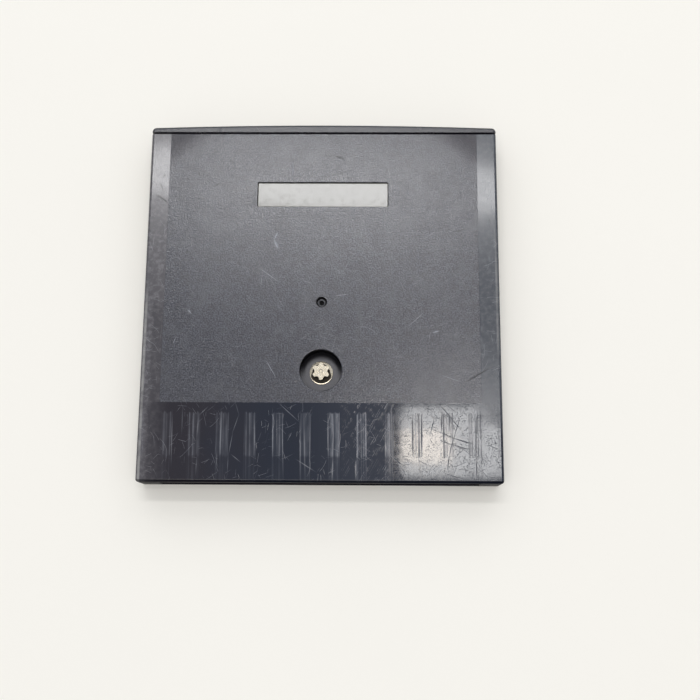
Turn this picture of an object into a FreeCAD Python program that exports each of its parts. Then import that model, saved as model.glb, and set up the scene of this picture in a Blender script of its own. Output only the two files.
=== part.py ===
import FreeCAD, Part
import math
import os

import Sketcher

# Game cartridge of two moulded shells around a circuit board, lying on its front, rear side up.
# Frame: +X to the right, +Y from the connector mouth to the gripping lip, +Z from the front face
# up to the rear face. The origin is the middle of the resting face.
# Lengths are in millimetres. Sketches measure Y from the mouth end, and each sub-part's placement
# moves the whole back by half of the length.

DRIVING_SIZES = (
    # Outline of the two shells
    ("body_width", 67.5),
    ("rear_length", 68.1),
    ("seam_gap", 0.3),
    ("lip_depth", 1.6),
    ("lip_drop", 0.6),
    ("corner_radius", 0.55),
    ("lip_corner", 0.8),
    ("edge_radius", 0.5),
    ("seam_edge", 0.2),
    # Thickness, as the stack from the front face to the rear face
    ("front_plate", 1.4),
    ("board_gap", 0.6),
    ("board_thickness", 1.2),
    ("chip_standoff", 0.1),
    ("chip_height", 2.0),
    ("chip_headroom", 0.4),
    ("rear_plate", 1.3),
    # Walls and the lapped seam along the sides
    ("side_wall", 1.6),
    ("top_wall", 1.6),
    ("parting_height", 3.6),
    ("tongue_width", 0.7),
    ("tongue_height", 0.8),
    ("lap_clearance", 0.1),
    ("parting_bevel", 0.12),
    # Connector mouth between two corner posts
    ("post_width", 4.1),
    ("post_length", 9.0),
    ("mouth_roof", 1.8),
    ("mouth_lead_in", 0.4),
    # Screw, its well in the rear shell and its boss in the front shell
    ("screw_y", 20.9),
    ("well_diameter", 7.9),
    ("well_depth", 3.1),
    ("well_wall", 0.9),
    ("well_floor", 1.0),
    ("well_rim", 0.15),
    ("flange_diameter", 4.4),
    ("flange_height", 0.5),
    ("flange_rim", 0.36),
    ("star_diameter", 3.3),
    ("star_height", 1.5),
    ("notch_diameter", 1.0),
    ("notch_root", 2.4),
    ("lobe_round", 0.18),
    ("dimple_diameter", 0.7),
    ("dimple_depth", 0.15),
    ("core_diameter", 2.2),
    ("screw_point", 0.5),
    ("shank_clearance", 0.25),
    ("pilot_clearance", 0.05),
    ("pilot_floor", 1.0),
    ("point_clearance", 0.15),
    ("boss_diameter", 6.4),
    # Marks on the rear face
    ("plate_width", 25.4),
    ("plate_height", 5.1),
    ("plate_depth", 0.4),
    ("plate_corner", 0.3),
    ("plate_round", 0.22),
    ("plate_y", 55.5),
    ("gate_y", 34.0),
    ("gate_diameter", 2.1),
    ("gate_depth", 0.8),
    ("gate_backing", 0.3),
    ("gate_margin", 0.9),
    ("pit_diameter", 0.86),
    ("pit_nub", 0.3),
    ("pit_depth", 0.35),
    # Recess on the front face, bare of its label
    ("label_margin", 5.0),
    ("label_low", 13.0),
    ("label_top_margin", 7.0),
    ("label_depth", 0.4),
    ("label_corner", 2.0),
    # Hooks of the rear shell in pockets of the lip
    ("hook_x", 18.0),
    ("hook_width", 7.0),
    ("hook_height", 1.0),
    ("hook_bite", 0.6),
    ("hook_clearance", 0.1),
    # Circuit board, its locating pins and sockets, and the rib under its upper edge
    ("board_inset", 2.0),
    ("board_length", 48.0),
    ("board_clearance", 0.6),
    ("edge_clearance", 0.5),
    ("shoulder_clearance", 0.4),
    ("board_bevel", 0.3),
    ("hole_clearance", 0.4),
    ("pin_inset", 4.8),
    ("pin_y", 38.0),
    ("pin_diameter", 2.8),
    ("pin_clearance", 0.1),
    ("pin_rise", 1.2),
    ("pin_bevel", 0.3),
    ("shoulder_width", 1.2),
    ("socket_wall", 1.0),
    ("press_clearance", 0.05),
    ("rest_width", 1.2),
    ("rest_length", 44.0),
    ("rest_setback", 2.0),
    ("rail_x", 14.0),
    ("rail_low", 28.0),
    # Stiffening ribs inside the rear plate, from the sockets to the wall behind the lip
    ("rib_width", 0.8),
    ("rib_height", 1.2),
    # Contact pads along the board's edge
    ("contact_pitch", 1.25),
    ("contact_width", 0.85),
    ("contact_length", 7.0),
    ("contact_thickness", 0.05),
    ("contact_setback", 0.5),
    ("contact_margin", 0.9),
    # Memory chip and its leads
    ("chip_y", 41.5),
    ("chip_length", 20.4),
    ("chip_width", 11.2),
    ("chip_draft", 6.0),
    ("chip_dot", 1.2),
    ("chip_dot_depth", 0.1),
    ("chip_dot_inset", 1.8),
    ("lead_count", 16.0),
    ("lead_pitch", 1.27),
    ("lead_width", 0.42),
    ("lead_thickness", 0.18),
    ("lead_level", 1.05),
    ("lead_shoulder", 0.45),
    ("lead_slope", 0.3),
    ("lead_foot", 0.75),
    # Bypass capacitor beside the chip
    ("capacitor_x", 15.5),
    ("capacitor_y", 34.0),
    ("capacitor_length", 2.0),
    ("capacitor_width", 1.25),
    ("capacitor_height", 0.9),
    ("terminal_length", 0.4),
    ("terminal_lap", 0.05),
    # Spare reach of a cut past the face that it leaves by
    ("overcut", 1.0),
)

# Places and sizes that follow from the driving sizes
LENGTH = "(Sizes.rear_length + Sizes.seam_gap + Sizes.lip_depth)"
HALF_WIDTH = "(Sizes.body_width / 2)"
SEAM_Y = "(Sizes.rear_length + Sizes.seam_gap)"
BOARD_BOTTOM = "(Sizes.front_plate + Sizes.board_gap)"
BOARD_TOP = f"({BOARD_BOTTOM} + Sizes.board_thickness)"
CHIP_BOTTOM = f"({BOARD_TOP} + Sizes.chip_standoff)"
REAR_INSIDE = f"({CHIP_BOTTOM} + Sizes.chip_height + Sizes.chip_headroom)"
THICKNESS = f"({REAR_INSIDE} + Sizes.rear_plate)"
PARTING = "Sizes.parting_height"
CAVITY_HALF = f"({HALF_WIDTH} - Sizes.side_wall)"
CAVITY_END = "(Sizes.rear_length - Sizes.top_wall)"
MOUTH_HALF = f"({HALF_WIDTH} - Sizes.post_width)"
SCREW_SEAT = f"({THICKNESS} - Sizes.well_depth)"
BOSS_MEETING = f"({SCREW_SEAT} - Sizes.well_floor)"
WELL_OUTER = "(Sizes.well_diameter + 2 * Sizes.well_wall)"
PIN_X = f"({CAVITY_HALF} - Sizes.board_clearance - Sizes.pin_inset)"
PIN_HOLE = "(Sizes.pin_diameter + 2 * Sizes.pin_clearance)"
BOARD_END = "(Sizes.board_inset + Sizes.board_length)"
BOARD_TONGUE_HALF = f"({MOUTH_HALF} - Sizes.edge_clearance)"
LEAD_ROW = "((Sizes.lead_count - 1) * Sizes.lead_pitch)"

XY, XZ, YZ = "XY_Plane", "XZ_Plane", "YZ_Plane"
NEAR = 1e-4

doc = FreeCAD.newDocument("Cartridge")
sheet = doc.addObject("Spreadsheet::Sheet", "Sizes")
for row, (alias, size) in enumerate(DRIVING_SIZES, start=1):
    sheet.set(f"A{row}", alias.replace("_", " "))
    sheet.set(f"B{row}", str(size))
    sheet.setAlias(f"B{row}", alias)
doc.recompute()


def value(expression):
    """The present number behind an expression on the sheet."""
    return float(sheet.evalExpression(expression))


def new_body(name, x="0", y="0", z="0"):
    """A body named for its sub-part, with its own frame at a point measured from the mouth end."""
    body = doc.addObject("PartDesign::Body", name)
    body.Label = name
    body.setExpression("Placement.Base.x", x)
    body.setExpression("Placement.Base.y", f"{y} - {LENGTH} / 2")
    body.setExpression("Placement.Base.z", z)
    return body


def new_sketch(body, name, level, plane=XY):
    """A sketch on one of the body's own planes, lifted along that plane's normal to a level."""
    drawing = body.newObject("Sketcher::SketchObject", name)
    support = next(item for item in body.Origin.OriginFeatures if item.Role == plane)
    drawing.AttachmentSupport = [(support, "")]
    drawing.MapMode = "FlatFace"
    drawing.setExpression("AttachmentOffset.Base.z", level)
    return drawing


def bind(drawing, constraint, expression):
    """Add a constraint to a sketch and tie its size to the sheet."""
    index = drawing.addConstraint(constraint)
    drawing.setExpression(f"Constraints[{index}]", expression)


def hold(drawing, geometry, point, across, along):
    """Hold a point of a sketch at two expressions, measured from the sketch's origin."""
    for kind, expression in (("DistanceX", across), ("DistanceY", along)):
        reach = Sketcher.Constraint(kind, -1, 1, geometry, point, value(expression))
        bind(drawing, reach, expression)


def polygon(drawing, corners):
    """A closed outline of straight lines through corners that expressions give."""
    points = [FreeCAD.Vector(value(across), value(along), 0) for across, along in corners]
    first = drawing.GeometryCount
    count = len(corners)
    for index in range(count):
        line = Part.LineSegment(points[index], points[(index + 1) % count])
        drawing.addGeometry(line, False)
    for index in range(count):
        following = first + (index + 1) % count
        drawing.addConstraint(Sketcher.Constraint("Coincident", first + index, 2, following, 1))
    for index, (across, along) in enumerate(corners):
        hold(drawing, first + index, 1, across, along)


def rectangle(drawing, left, right, low, high):
    """A rectangle between four expressions."""
    polygon(drawing, ((left, low), (right, low), (right, high), (left, high)))


def circle(drawing, across, along, diameter):
    """A circle about a point, both by expressions."""
    centre = FreeCAD.Vector(value(across), value(along), 0)
    up = FreeCAD.Vector(0, 0, 1)
    ring = drawing.addGeometry(Part.Circle(centre, up, value(diameter) / 2), False)
    hold(drawing, ring, 3, across, along)
    bind(drawing, Sketcher.Constraint("Diameter", ring, value(diameter)), diameter)


def pad(body, drawing, name, length):
    """Material raised from a sketch along its normal."""
    feature = body.newObject("PartDesign::Pad", name)
    feature.Profile = drawing
    feature.setExpression("Length", length)
    return feature


def pocket(body, drawing, name, depth, upwards=False):
    """Material taken away below a sketch, or above it."""
    doc.recompute()
    before = body.Shape.Volume
    feature = body.newObject("PartDesign::Pocket", name)
    feature.Profile = drawing
    feature.Reversed = upwards
    feature.setExpression("Length", depth)
    doc.recompute()
    if not body.Shape.Volume < before:
        raise RuntimeError(f"{name} takes nothing away")
    return feature


def dress(body, kind, name, size, picked):
    """Fillet or chamfer on the body's present edges that the test picks."""
    doc.recompute()
    base = body.Tip
    chosen = [f"Edge{n}" for n, edge in enumerate(base.Shape.Edges, start=1) if picked(edge)]
    feature = body.newObject(f"PartDesign::{kind}", name)
    feature.Base = (base, chosen)
    feature.setExpression("Radius" if kind == "Fillet" else "Size", size)
    doc.recompute()
    return feature


def at_height(edge, height):
    """Whether an edge lies flat at a height."""
    box = edge.BoundBox
    return abs(box.ZMin - height) < NEAR and abs(box.ZMax - height) < NEAR


def upright_at(edge, x, y):
    """Whether an edge stands upright at a place in plan, on either side of the middle."""
    box = edge.BoundBox
    centre = box.Center
    standing = box.XLength < NEAR and box.YLength < NEAR
    return standing and abs(abs(centre.x) - x) < NEAR and abs(centre.y - y) < NEAR


def pattern_row(body, original, drawing, name, length, count):
    """Copies of a feature in a row along the sketch's horizontal axis."""
    feature = body.newObject("PartDesign::LinearPattern", name)
    feature.Originals = [original]
    feature.Direction = (drawing, ["H_Axis"])
    feature.setExpression("Length", length)
    feature.setExpression("Occurrences", count)
    body.Tip = feature
    return feature


def shell_outline(body):
    """Plan of the front shell: straight sides and mouth end, and the arched lip."""
    shoulder = f"({LENGTH} - Sizes.lip_drop)"
    arch_radius = f"(({HALF_WIDTH} ^ 2 + Sizes.lip_drop ^ 2) / (2 * Sizes.lip_drop))"
    drawing = new_sketch(body, "front_outline", "0")
    half, top, radius = value(HALF_WIDTH), value(shoulder), value(arch_radius)
    corners = [(-half, top), (-half, 0), (half, 0), (half, top)]
    points = [FreeCAD.Vector(x, y, 0) for x, y in corners]
    for start, end in zip(points, points[1:]):
        drawing.addGeometry(Part.LineSegment(start, end), False)
    centre = FreeCAD.Vector(0, value(LENGTH) - radius, 0)
    swing = math.asin(half / radius)
    ring = Part.Circle(centre, FreeCAD.Vector(0, 0, 1), radius)
    right_angle = math.pi / 2
    drawing.addGeometry(Part.ArcOfCircle(ring, right_angle - swing, right_angle + swing), False)
    for line, following in ((0, 1), (1, 2), (2, 3)):
        drawing.addConstraint(Sketcher.Constraint("Coincident", line, 2, following, 1))
    drawing.addConstraint(Sketcher.Constraint("Coincident", 3, 2, 0, 1))
    hold(drawing, 0, 1, f"-{HALF_WIDTH}", shoulder)
    hold(drawing, 1, 1, f"-{HALF_WIDTH}", "0")
    hold(drawing, 2, 1, HALF_WIDTH, "0")
    hold(drawing, 3, 1, HALF_WIDTH, shoulder)
    bind(drawing, Sketcher.Constraint("Radius", 3, radius), arch_radius)
    return drawing


def make_front_shell():
    """Front half: plate with the label recess, walls, arched lip, boss, pins and board rests."""
    body = new_body("front_shell")
    pad(body, shell_outline(body), "front_block", THICKNESS)
    half, shoulder = value(HALF_WIDTH), value(f"{LENGTH} - Sizes.lip_drop")
    dress(body, "Fillet", "mouth_corners", "Sizes.corner_radius",
          lambda edge: upright_at(edge, half, 0))
    dress(body, "Fillet", "lip_corners", "Sizes.lip_corner",
          lambda edge: upright_at(edge, half, shoulder))
    dress(body, "Fillet", "front_edges", "Sizes.edge_radius", lambda edge: at_height(edge, 0))
    top = value(THICKNESS)
    dress(body, "Fillet", "lip_edges", "Sizes.edge_radius", lambda edge: at_height(edge, top))

    # Room above the parting plane for the rear shell, which leaves the lip standing
    drawing = new_sketch(body, "rear_shell_room", PARTING)
    rectangle(drawing, f"-{HALF_WIDTH} - Sizes.overcut", f"{HALF_WIDTH} + Sizes.overcut",
              "-Sizes.overcut", SEAM_Y)
    pocket(body, drawing, "rear_shell_seat", f"{THICKNESS} - {PARTING} + Sizes.overcut", True)

    level = value(PARTING)
    seam = value(SEAM_Y)
    dress(body, "Chamfer", "front_parting_bevel", "Sizes.parting_bevel",
          lambda edge: at_height(edge, level) and edge.BoundBox.YMin < seam - NEAR)

    # Inside: the board's room, and the mouth between the corner posts
    drawing = new_sketch(body, "front_room", PARTING)
    rectangle(drawing, f"-{CAVITY_HALF}", CAVITY_HALF, "Sizes.post_length", CAVITY_END)
    pocket(body, drawing, "front_cavity", f"{PARTING} - Sizes.front_plate")
    drawing = new_sketch(body, "front_mouth_plan", PARTING)
    rectangle(drawing, f"-{MOUTH_HALF}", MOUTH_HALF, "-Sizes.overcut", "Sizes.post_length")
    pocket(body, drawing, "front_mouth", f"{PARTING} - {BOARD_BOTTOM}")
    sill = value(BOARD_BOTTOM)
    dress(body, "Chamfer", "sill_lead_in", "Sizes.mouth_lead_in",
          lambda edge: at_height(edge, sill) and edge.BoundBox.YMax < NEAR)

    # Tongues along both sides that the rear shell laps over
    drawing = new_sketch(body, "tongue_plan", PARTING)
    for near, far in ((f"-{CAVITY_HALF} - Sizes.tongue_width", f"-{CAVITY_HALF}"),
                      (CAVITY_HALF, f"{CAVITY_HALF} + Sizes.tongue_width")):
        rectangle(drawing, near, far, "Sizes.post_length", CAVITY_END)
    pad(body, drawing, "side_tongues", "Sizes.tongue_height")

    # Boss that the screw bites into
    drawing = new_sketch(body, "boss_plan", "Sizes.front_plate")
    circle(drawing, "0", "Sizes.screw_y", "Sizes.boss_diameter")
    pad(body, drawing, "screw_boss", f"{BOSS_MEETING} - Sizes.front_plate")
    drawing = new_sketch(body, "pilot_plan", BOSS_MEETING)
    circle(drawing, "0", "Sizes.screw_y", "Sizes.core_diameter + 2 * Sizes.pilot_clearance")
    pocket(body, drawing, "pilot_hole", f"{BOSS_MEETING} - Sizes.pilot_floor")

    # Shouldered pins through the board, and the rib and rails that it rests on
    drawing = new_sketch(body, "shoulder_plan", "Sizes.front_plate")
    for across in (f"-{PIN_X}", PIN_X):
        circle(drawing, across, "Sizes.pin_y", "Sizes.pin_diameter + 2 * Sizes.shoulder_width")
    pad(body, drawing, "pin_shoulders", "Sizes.board_gap")
    drawing = new_sketch(body, "pin_plan", BOARD_BOTTOM)
    for across in (f"-{PIN_X}", PIN_X):
        circle(drawing, across, "Sizes.pin_y", "Sizes.pin_diameter")
    pad(body, drawing, "locating_pins", "Sizes.board_thickness + Sizes.pin_rise")
    pin_top = value(f"{BOARD_TOP} + Sizes.pin_rise")
    dress(body, "Chamfer", "pin_bevels", "Sizes.pin_bevel",
          lambda edge: at_height(edge, pin_top) and isinstance(edge.Curve, Part.Circle))
    drawing = new_sketch(body, "rest_plan", "Sizes.front_plate")
    rest_far = f"({BOARD_END} - Sizes.rest_setback)"
    rest_near = f"({rest_far} - Sizes.rest_width)"
    rectangle(drawing, "-Sizes.rest_length / 2", "Sizes.rest_length / 2", rest_near, rest_far)
    pad(body, drawing, "board_rest", "Sizes.board_gap")
    drawing = new_sketch(body, "rail_plan", "Sizes.front_plate")
    for middle in ("-Sizes.rail_x", "Sizes.rail_x"):
        rectangle(drawing, f"{middle} - Sizes.rest_width / 2", f"{middle} + Sizes.rest_width / 2",
                  "Sizes.rail_low", rest_near)
    pad(body, drawing, "board_rails", "Sizes.board_gap")

    # Pockets in the lip for the rear shell's hooks
    drawing = new_sketch(body, "hook_room", PARTING)
    room = "(Sizes.hook_width / 2 + Sizes.hook_clearance)"
    for middle in ("-Sizes.hook_x", "Sizes.hook_x"):
        rectangle(drawing, f"{middle} - {room}", f"{middle} + {room}", "Sizes.rear_length",
                  f"{SEAM_Y} + Sizes.hook_bite + Sizes.hook_clearance")
    pocket(body, drawing, "hook_pockets", "Sizes.hook_height + 2 * Sizes.hook_clearance", True)

    # Label recess on the front face
    left, low = f"-{HALF_WIDTH} + Sizes.label_margin", "Sizes.label_low"
    right, high = f"{HALF_WIDTH} - Sizes.label_margin", f"{LENGTH} - Sizes.label_top_margin"
    drawing = new_sketch(body, "label_plan", "0")
    rectangle(drawing, left, right, low, high)
    pocket(body, drawing, "label_recess", "Sizes.label_depth", True)
    side, ends = value(right), (value(low), value(high))
    dress(body, "Fillet", "label_corners", "Sizes.label_corner",
          lambda edge: any(upright_at(edge, side, end) for end in ends))
    return body


def make_rear_shell():
    """Rear half: plate with its marks, walls, screw well, board sockets and hooks."""
    body = new_body("rear_shell")
    drawing = new_sketch(body, "rear_outline", PARTING)
    rectangle(drawing, f"-{HALF_WIDTH}", HALF_WIDTH, "0", "Sizes.rear_length")
    pad(body, drawing, "rear_block", f"{THICKNESS} - {PARTING}")
    half, top, end = value(HALF_WIDTH), value(THICKNESS), value("Sizes.rear_length")
    dress(body, "Fillet", "rear_corners", "Sizes.corner_radius",
          lambda edge: upright_at(edge, half, 0))
    dress(body, "Fillet", "rear_edges", "Sizes.edge_radius",
          lambda edge: at_height(edge, top) and edge.BoundBox.YMin < end - NEAR)
    dress(body, "Fillet", "seam_edges", "Sizes.seam_edge",
          lambda edge: at_height(edge, top) and edge.BoundBox.YMin > end - NEAR)

    level = value(PARTING)
    dress(body, "Chamfer", "rear_parting_bevel", "Sizes.parting_bevel",
          lambda edge: at_height(edge, level))

    # Inside: the board's room, the mouth's roof and the lap over the front shell's tongues
    drawing = new_sketch(body, "rear_room", PARTING)
    rectangle(drawing, f"-{CAVITY_HALF}", CAVITY_HALF, "Sizes.post_length", CAVITY_END)
    pocket(body, drawing, "rear_cavity", f"{REAR_INSIDE} - {PARTING}", True)
    drawing = new_sketch(body, "rear_mouth_plan", PARTING)
    rectangle(drawing, f"-{MOUTH_HALF}", MOUTH_HALF, "-Sizes.overcut", "Sizes.post_length")
    pocket(body, drawing, "rear_mouth", f"{THICKNESS} - Sizes.mouth_roof - {PARTING}", True)
    roof = value(f"{THICKNESS} - Sizes.mouth_roof")
    dress(body, "Chamfer", "mouth_lead_in", "Sizes.mouth_lead_in",
          lambda edge: at_height(edge, roof) and edge.BoundBox.YMax < NEAR)
    drawing = new_sketch(body, "lap_plan", PARTING)
    lap = f"({CAVITY_HALF} + Sizes.tongue_width + Sizes.lap_clearance)"
    rectangle(drawing, f"-{lap}", lap, "Sizes.post_length - Sizes.lap_clearance",
              f"{CAVITY_END} + Sizes.lap_clearance")
    pocket(body, drawing, "side_laps", "Sizes.tongue_height + Sizes.lap_clearance", True)

    # Well for the screw, with its floor and the hole for the shank
    drawing = new_sketch(body, "well_tube_plan", BOSS_MEETING)
    circle(drawing, "0", "Sizes.screw_y", WELL_OUTER)
    pad(body, drawing, "well_tube", f"{REAR_INSIDE} - {BOSS_MEETING}")
    drawing = new_sketch(body, "well_plan", THICKNESS)
    circle(drawing, "0", "Sizes.screw_y", "Sizes.well_diameter")
    pocket(body, drawing, "screw_well", "Sizes.well_depth")
    drawing = new_sketch(body, "shank_plan", SCREW_SEAT)
    circle(drawing, "0", "Sizes.screw_y", "Sizes.core_diameter + 2 * Sizes.shank_clearance")
    pocket(body, drawing, "shank_hole", "Sizes.well_floor + Sizes.overcut")
    well = value("Sizes.well_diameter")
    dress(body, "Fillet", "well_rim", "Sizes.well_rim",
          lambda edge: at_height(edge, top) and abs(edge.BoundBox.XLength - well) < NEAR)

    # Shallow plate recess
    plate_half = "(Sizes.plate_width / 2)"
    low, high = (f"Sizes.plate_y {sign} Sizes.plate_height / 2" for sign in "-+")
    drawing = new_sketch(body, "plate_plan", THICKNESS)
    rectangle(drawing, f"-{plate_half}", plate_half, low, high)
    pocket(body, drawing, "plate_recess", "Sizes.plate_depth")
    side, ends = value(plate_half), (value(low), value(high))
    dress(body, "Fillet", "plate_corners", "Sizes.plate_corner",
          lambda edge: any(upright_at(edge, side, level) for level in ends))
    recess = value(f"{THICKNESS} - Sizes.plate_depth")
    dress(body, "Fillet", "plate_rounding", "Sizes.plate_round",
          lambda edge: at_height(edge, recess))

    # Gate mark: a round recess with a small ring-shaped pit, and a backing disc inside
    drawing = new_sketch(body, "gate_backing_plan", f"{REAR_INSIDE} - Sizes.gate_backing")
    circle(drawing, "0", "Sizes.gate_y", "Sizes.gate_diameter + 2 * Sizes.gate_margin")
    pad(body, drawing, "gate_disc", "Sizes.gate_backing")
    drawing = new_sketch(body, "gate_plan", THICKNESS)
    circle(drawing, "0", "Sizes.gate_y", "Sizes.gate_diameter")
    pocket(body, drawing, "gate_recess", "Sizes.gate_depth")
    drawing = new_sketch(body, "pit_plan", f"{THICKNESS} - Sizes.gate_depth")
    circle(drawing, "0", "Sizes.gate_y", "Sizes.pit_diameter")
    circle(drawing, "0", "Sizes.gate_y", "Sizes.pit_nub")
    pocket(body, drawing, "gate_pit", "Sizes.pit_depth")

    # Ribs and sockets over the locating pins, which press the board on its rests
    drawing = new_sketch(body, "rib_plan", f"{REAR_INSIDE} - Sizes.rib_height")
    for middle in (f"-{PIN_X}", PIN_X):
        rectangle(drawing, f"{middle} - Sizes.rib_width / 2", f"{middle} + Sizes.rib_width / 2",
                  "Sizes.pin_y", CAVITY_END)
    pad(body, drawing, "rear_ribs", "Sizes.rib_height")
    bottom = f"({BOARD_TOP} + Sizes.press_clearance)"
    drawing = new_sketch(body, "socket_plan", bottom)
    for across in (f"-{PIN_X}", PIN_X):
        circle(drawing, across, "Sizes.pin_y", f"{PIN_HOLE} + 2 * Sizes.socket_wall")
    pad(body, drawing, "pin_sockets", f"{REAR_INSIDE} - {bottom}")
    drawing = new_sketch(body, "socket_bore_plan", bottom)
    for across in (f"-{PIN_X}", PIN_X):
        circle(drawing, across, "Sizes.pin_y", PIN_HOLE)
    pocket(body, drawing, "socket_bores", f"{REAR_INSIDE} - {bottom}", True)

    # Hooks that reach across the seam into the lip
    drawing = new_sketch(body, "hook_plan", f"{PARTING} + Sizes.hook_clearance")
    reach = "Sizes.hook_width / 2"
    for middle in ("-Sizes.hook_x", "Sizes.hook_x"):
        rectangle(drawing, f"{middle} - {reach}", f"{middle} + {reach}", CAVITY_END,
                  f"{SEAM_Y} + Sizes.hook_bite")
    pad(body, drawing, "lip_hooks", "Sizes.hook_height")
    return body


def make_shell_screw():
    """Screw on its seat: coned flange, six-lobed star and plain shank with a short point."""
    body = new_body("shell_screw", y="Sizes.screw_y", z=SCREW_SEAT)
    shank = f"({SCREW_SEAT} - Sizes.pilot_floor - Sizes.point_clearance)"
    flange, core = "Sizes.flange_diameter / 2", "Sizes.core_diameter / 2"
    star_radius = "Sizes.star_diameter / 2"
    drawing = new_sketch(body, "screw_profile", "0", XZ)
    polygon(drawing, (("0", "Sizes.flange_height"), (star_radius, "Sizes.flange_height"),
                      (flange, "Sizes.flange_rim"), (flange, "0"), (core, "0"),
                      (core, f"-{shank} + Sizes.screw_point"),
                      (f"{core} - Sizes.screw_point / 2", f"-{shank}"), ("0", f"-{shank}")))
    turned = body.newObject("PartDesign::Revolution", "flange_and_shank")
    turned.Profile = drawing
    turned.ReferenceAxis = (drawing, ["V_Axis"])
    turned.Angle = 360

    # Star: a disc with six round notches, one lobe pointing to the lip
    drawing = new_sketch(body, "star_plan", "Sizes.flange_height")
    circle(drawing, "0", "0", "Sizes.star_diameter")
    pad(body, drawing, "star_disc", "Sizes.star_height")
    drawing = new_sketch(body, "notch_plan", "Sizes.flange_height + Sizes.star_height")
    circle(drawing, "(Sizes.notch_root + Sizes.notch_diameter) / 2", "0", "Sizes.notch_diameter")
    notch = pocket(body, drawing, "star_notch", "Sizes.star_height")
    notches = body.newObject("PartDesign::PolarPattern", "star_notches")
    notches.Originals = [notch]
    notches.Axis = (drawing, ["N_Axis"])
    notches.Angle = 360
    notches.Occurrences = 6
    body.Tip = notches
    star, tall = value("Sizes.star_diameter") / 2, value("Sizes.star_height")
    dress(body, "Fillet", "lobe_tips", "Sizes.lobe_round",
          lambda edge: abs(edge.BoundBox.ZLength - tall) < NEAR and edge.BoundBox.XLength < NEAR
          and abs(math.hypot(edge.BoundBox.Center.x, edge.BoundBox.Center.y) - star) < NEAR)
    drawing = new_sketch(body, "dimple_plan", "Sizes.flange_height + Sizes.star_height")
    circle(drawing, "0", "0", "Sizes.dimple_diameter")
    pocket(body, drawing, "star_dimple", "Sizes.dimple_depth")
    return body


def make_circuit_board():
    """Board with a narrower contact edge, a hole for the screw well and two locating holes."""
    body = new_body("circuit_board")
    shoulder = "Sizes.post_length + Sizes.shoulder_clearance"
    wide = f"({CAVITY_HALF} - Sizes.board_clearance)"
    drawing = new_sketch(body, "board_plan", BOARD_BOTTOM)
    polygon(drawing, ((f"-{BOARD_TONGUE_HALF}", "Sizes.board_inset"),
                      (BOARD_TONGUE_HALF, "Sizes.board_inset"), (BOARD_TONGUE_HALF, shoulder),
                      (wide, shoulder), (wide, BOARD_END), (f"-{wide}", BOARD_END),
                      (f"-{wide}", shoulder), (f"-{BOARD_TONGUE_HALF}", shoulder)))
    pad(body, drawing, "board_blank", "Sizes.board_thickness")
    edge_y = value("Sizes.board_inset")
    faces = value(BOARD_BOTTOM), value(BOARD_TOP)
    dress(body, "Chamfer", "edge_bevel", "Sizes.board_bevel",
          lambda edge: edge.BoundBox.YMax < edge_y + NEAR
          and any(at_height(edge, face) for face in faces))
    drawing = new_sketch(body, "hole_plan", BOARD_TOP)
    circle(drawing, "0", "Sizes.screw_y", f"{WELL_OUTER} + 2 * Sizes.hole_clearance")
    for across in (f"-{PIN_X}", PIN_X):
        circle(drawing, across, "Sizes.pin_y", PIN_HOLE)
    pocket(body, drawing, "board_holes", "Sizes.board_thickness")
    return body


def make_edge_contacts():
    """Row of flat contact pads, as many as the board's edge has room for."""
    body = new_body("edge_contacts")
    spare = f"(2 * ({BOARD_TONGUE_HALF} - Sizes.contact_margin) - Sizes.contact_width)"
    steps = f"floor({spare} / Sizes.contact_pitch)"
    row = f"({steps} * Sizes.contact_pitch)"
    left = f"(-({row} + Sizes.contact_width) / 2)"
    low = "(Sizes.board_inset + Sizes.contact_setback)"
    drawing = new_sketch(body, "contact_plan", BOARD_TOP)
    rectangle(drawing, left, f"{left} + Sizes.contact_width", low,
              f"{low} + Sizes.contact_length")
    contact = pad(body, drawing, "contact_pad", "Sizes.contact_thickness")
    pattern_row(body, contact, drawing, "contact_row", row, f"{steps} + 1")
    return body


def make_memory_chip():
    """Moulded chip body with drafted sides and a round mark at its first lead."""
    body = new_body("memory_chip", y="Sizes.chip_y", z=CHIP_BOTTOM)
    half_length, half_width = "Sizes.chip_length / 2", "Sizes.chip_width / 2"
    drawing = new_sketch(body, "chip_plan", "Sizes.lead_level")
    rectangle(drawing, f"-{half_length}", half_length, f"-{half_width}", half_width)
    upper = pad(body, drawing, "chip_upper", "Sizes.chip_height - Sizes.lead_level")
    upper.setExpression("TaperAngle", "-Sizes.chip_draft")
    drawing = new_sketch(body, "chip_lower_plan", "Sizes.lead_level")
    rectangle(drawing, f"-{half_length}", half_length, f"-{half_width}", half_width)
    lower = pad(body, drawing, "chip_lower", "Sizes.lead_level")
    lower.Reversed = True
    lower.setExpression("TaperAngle", "-Sizes.chip_draft")
    drawing = new_sketch(body, "dot_plan", "Sizes.chip_height")
    circle(drawing, f"-{half_length} + Sizes.chip_dot_inset",
           f"-{half_width} + Sizes.chip_dot_inset", "Sizes.chip_dot")
    pocket(body, drawing, "first_lead_dot", "Sizes.chip_dot_depth")
    return body


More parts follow.
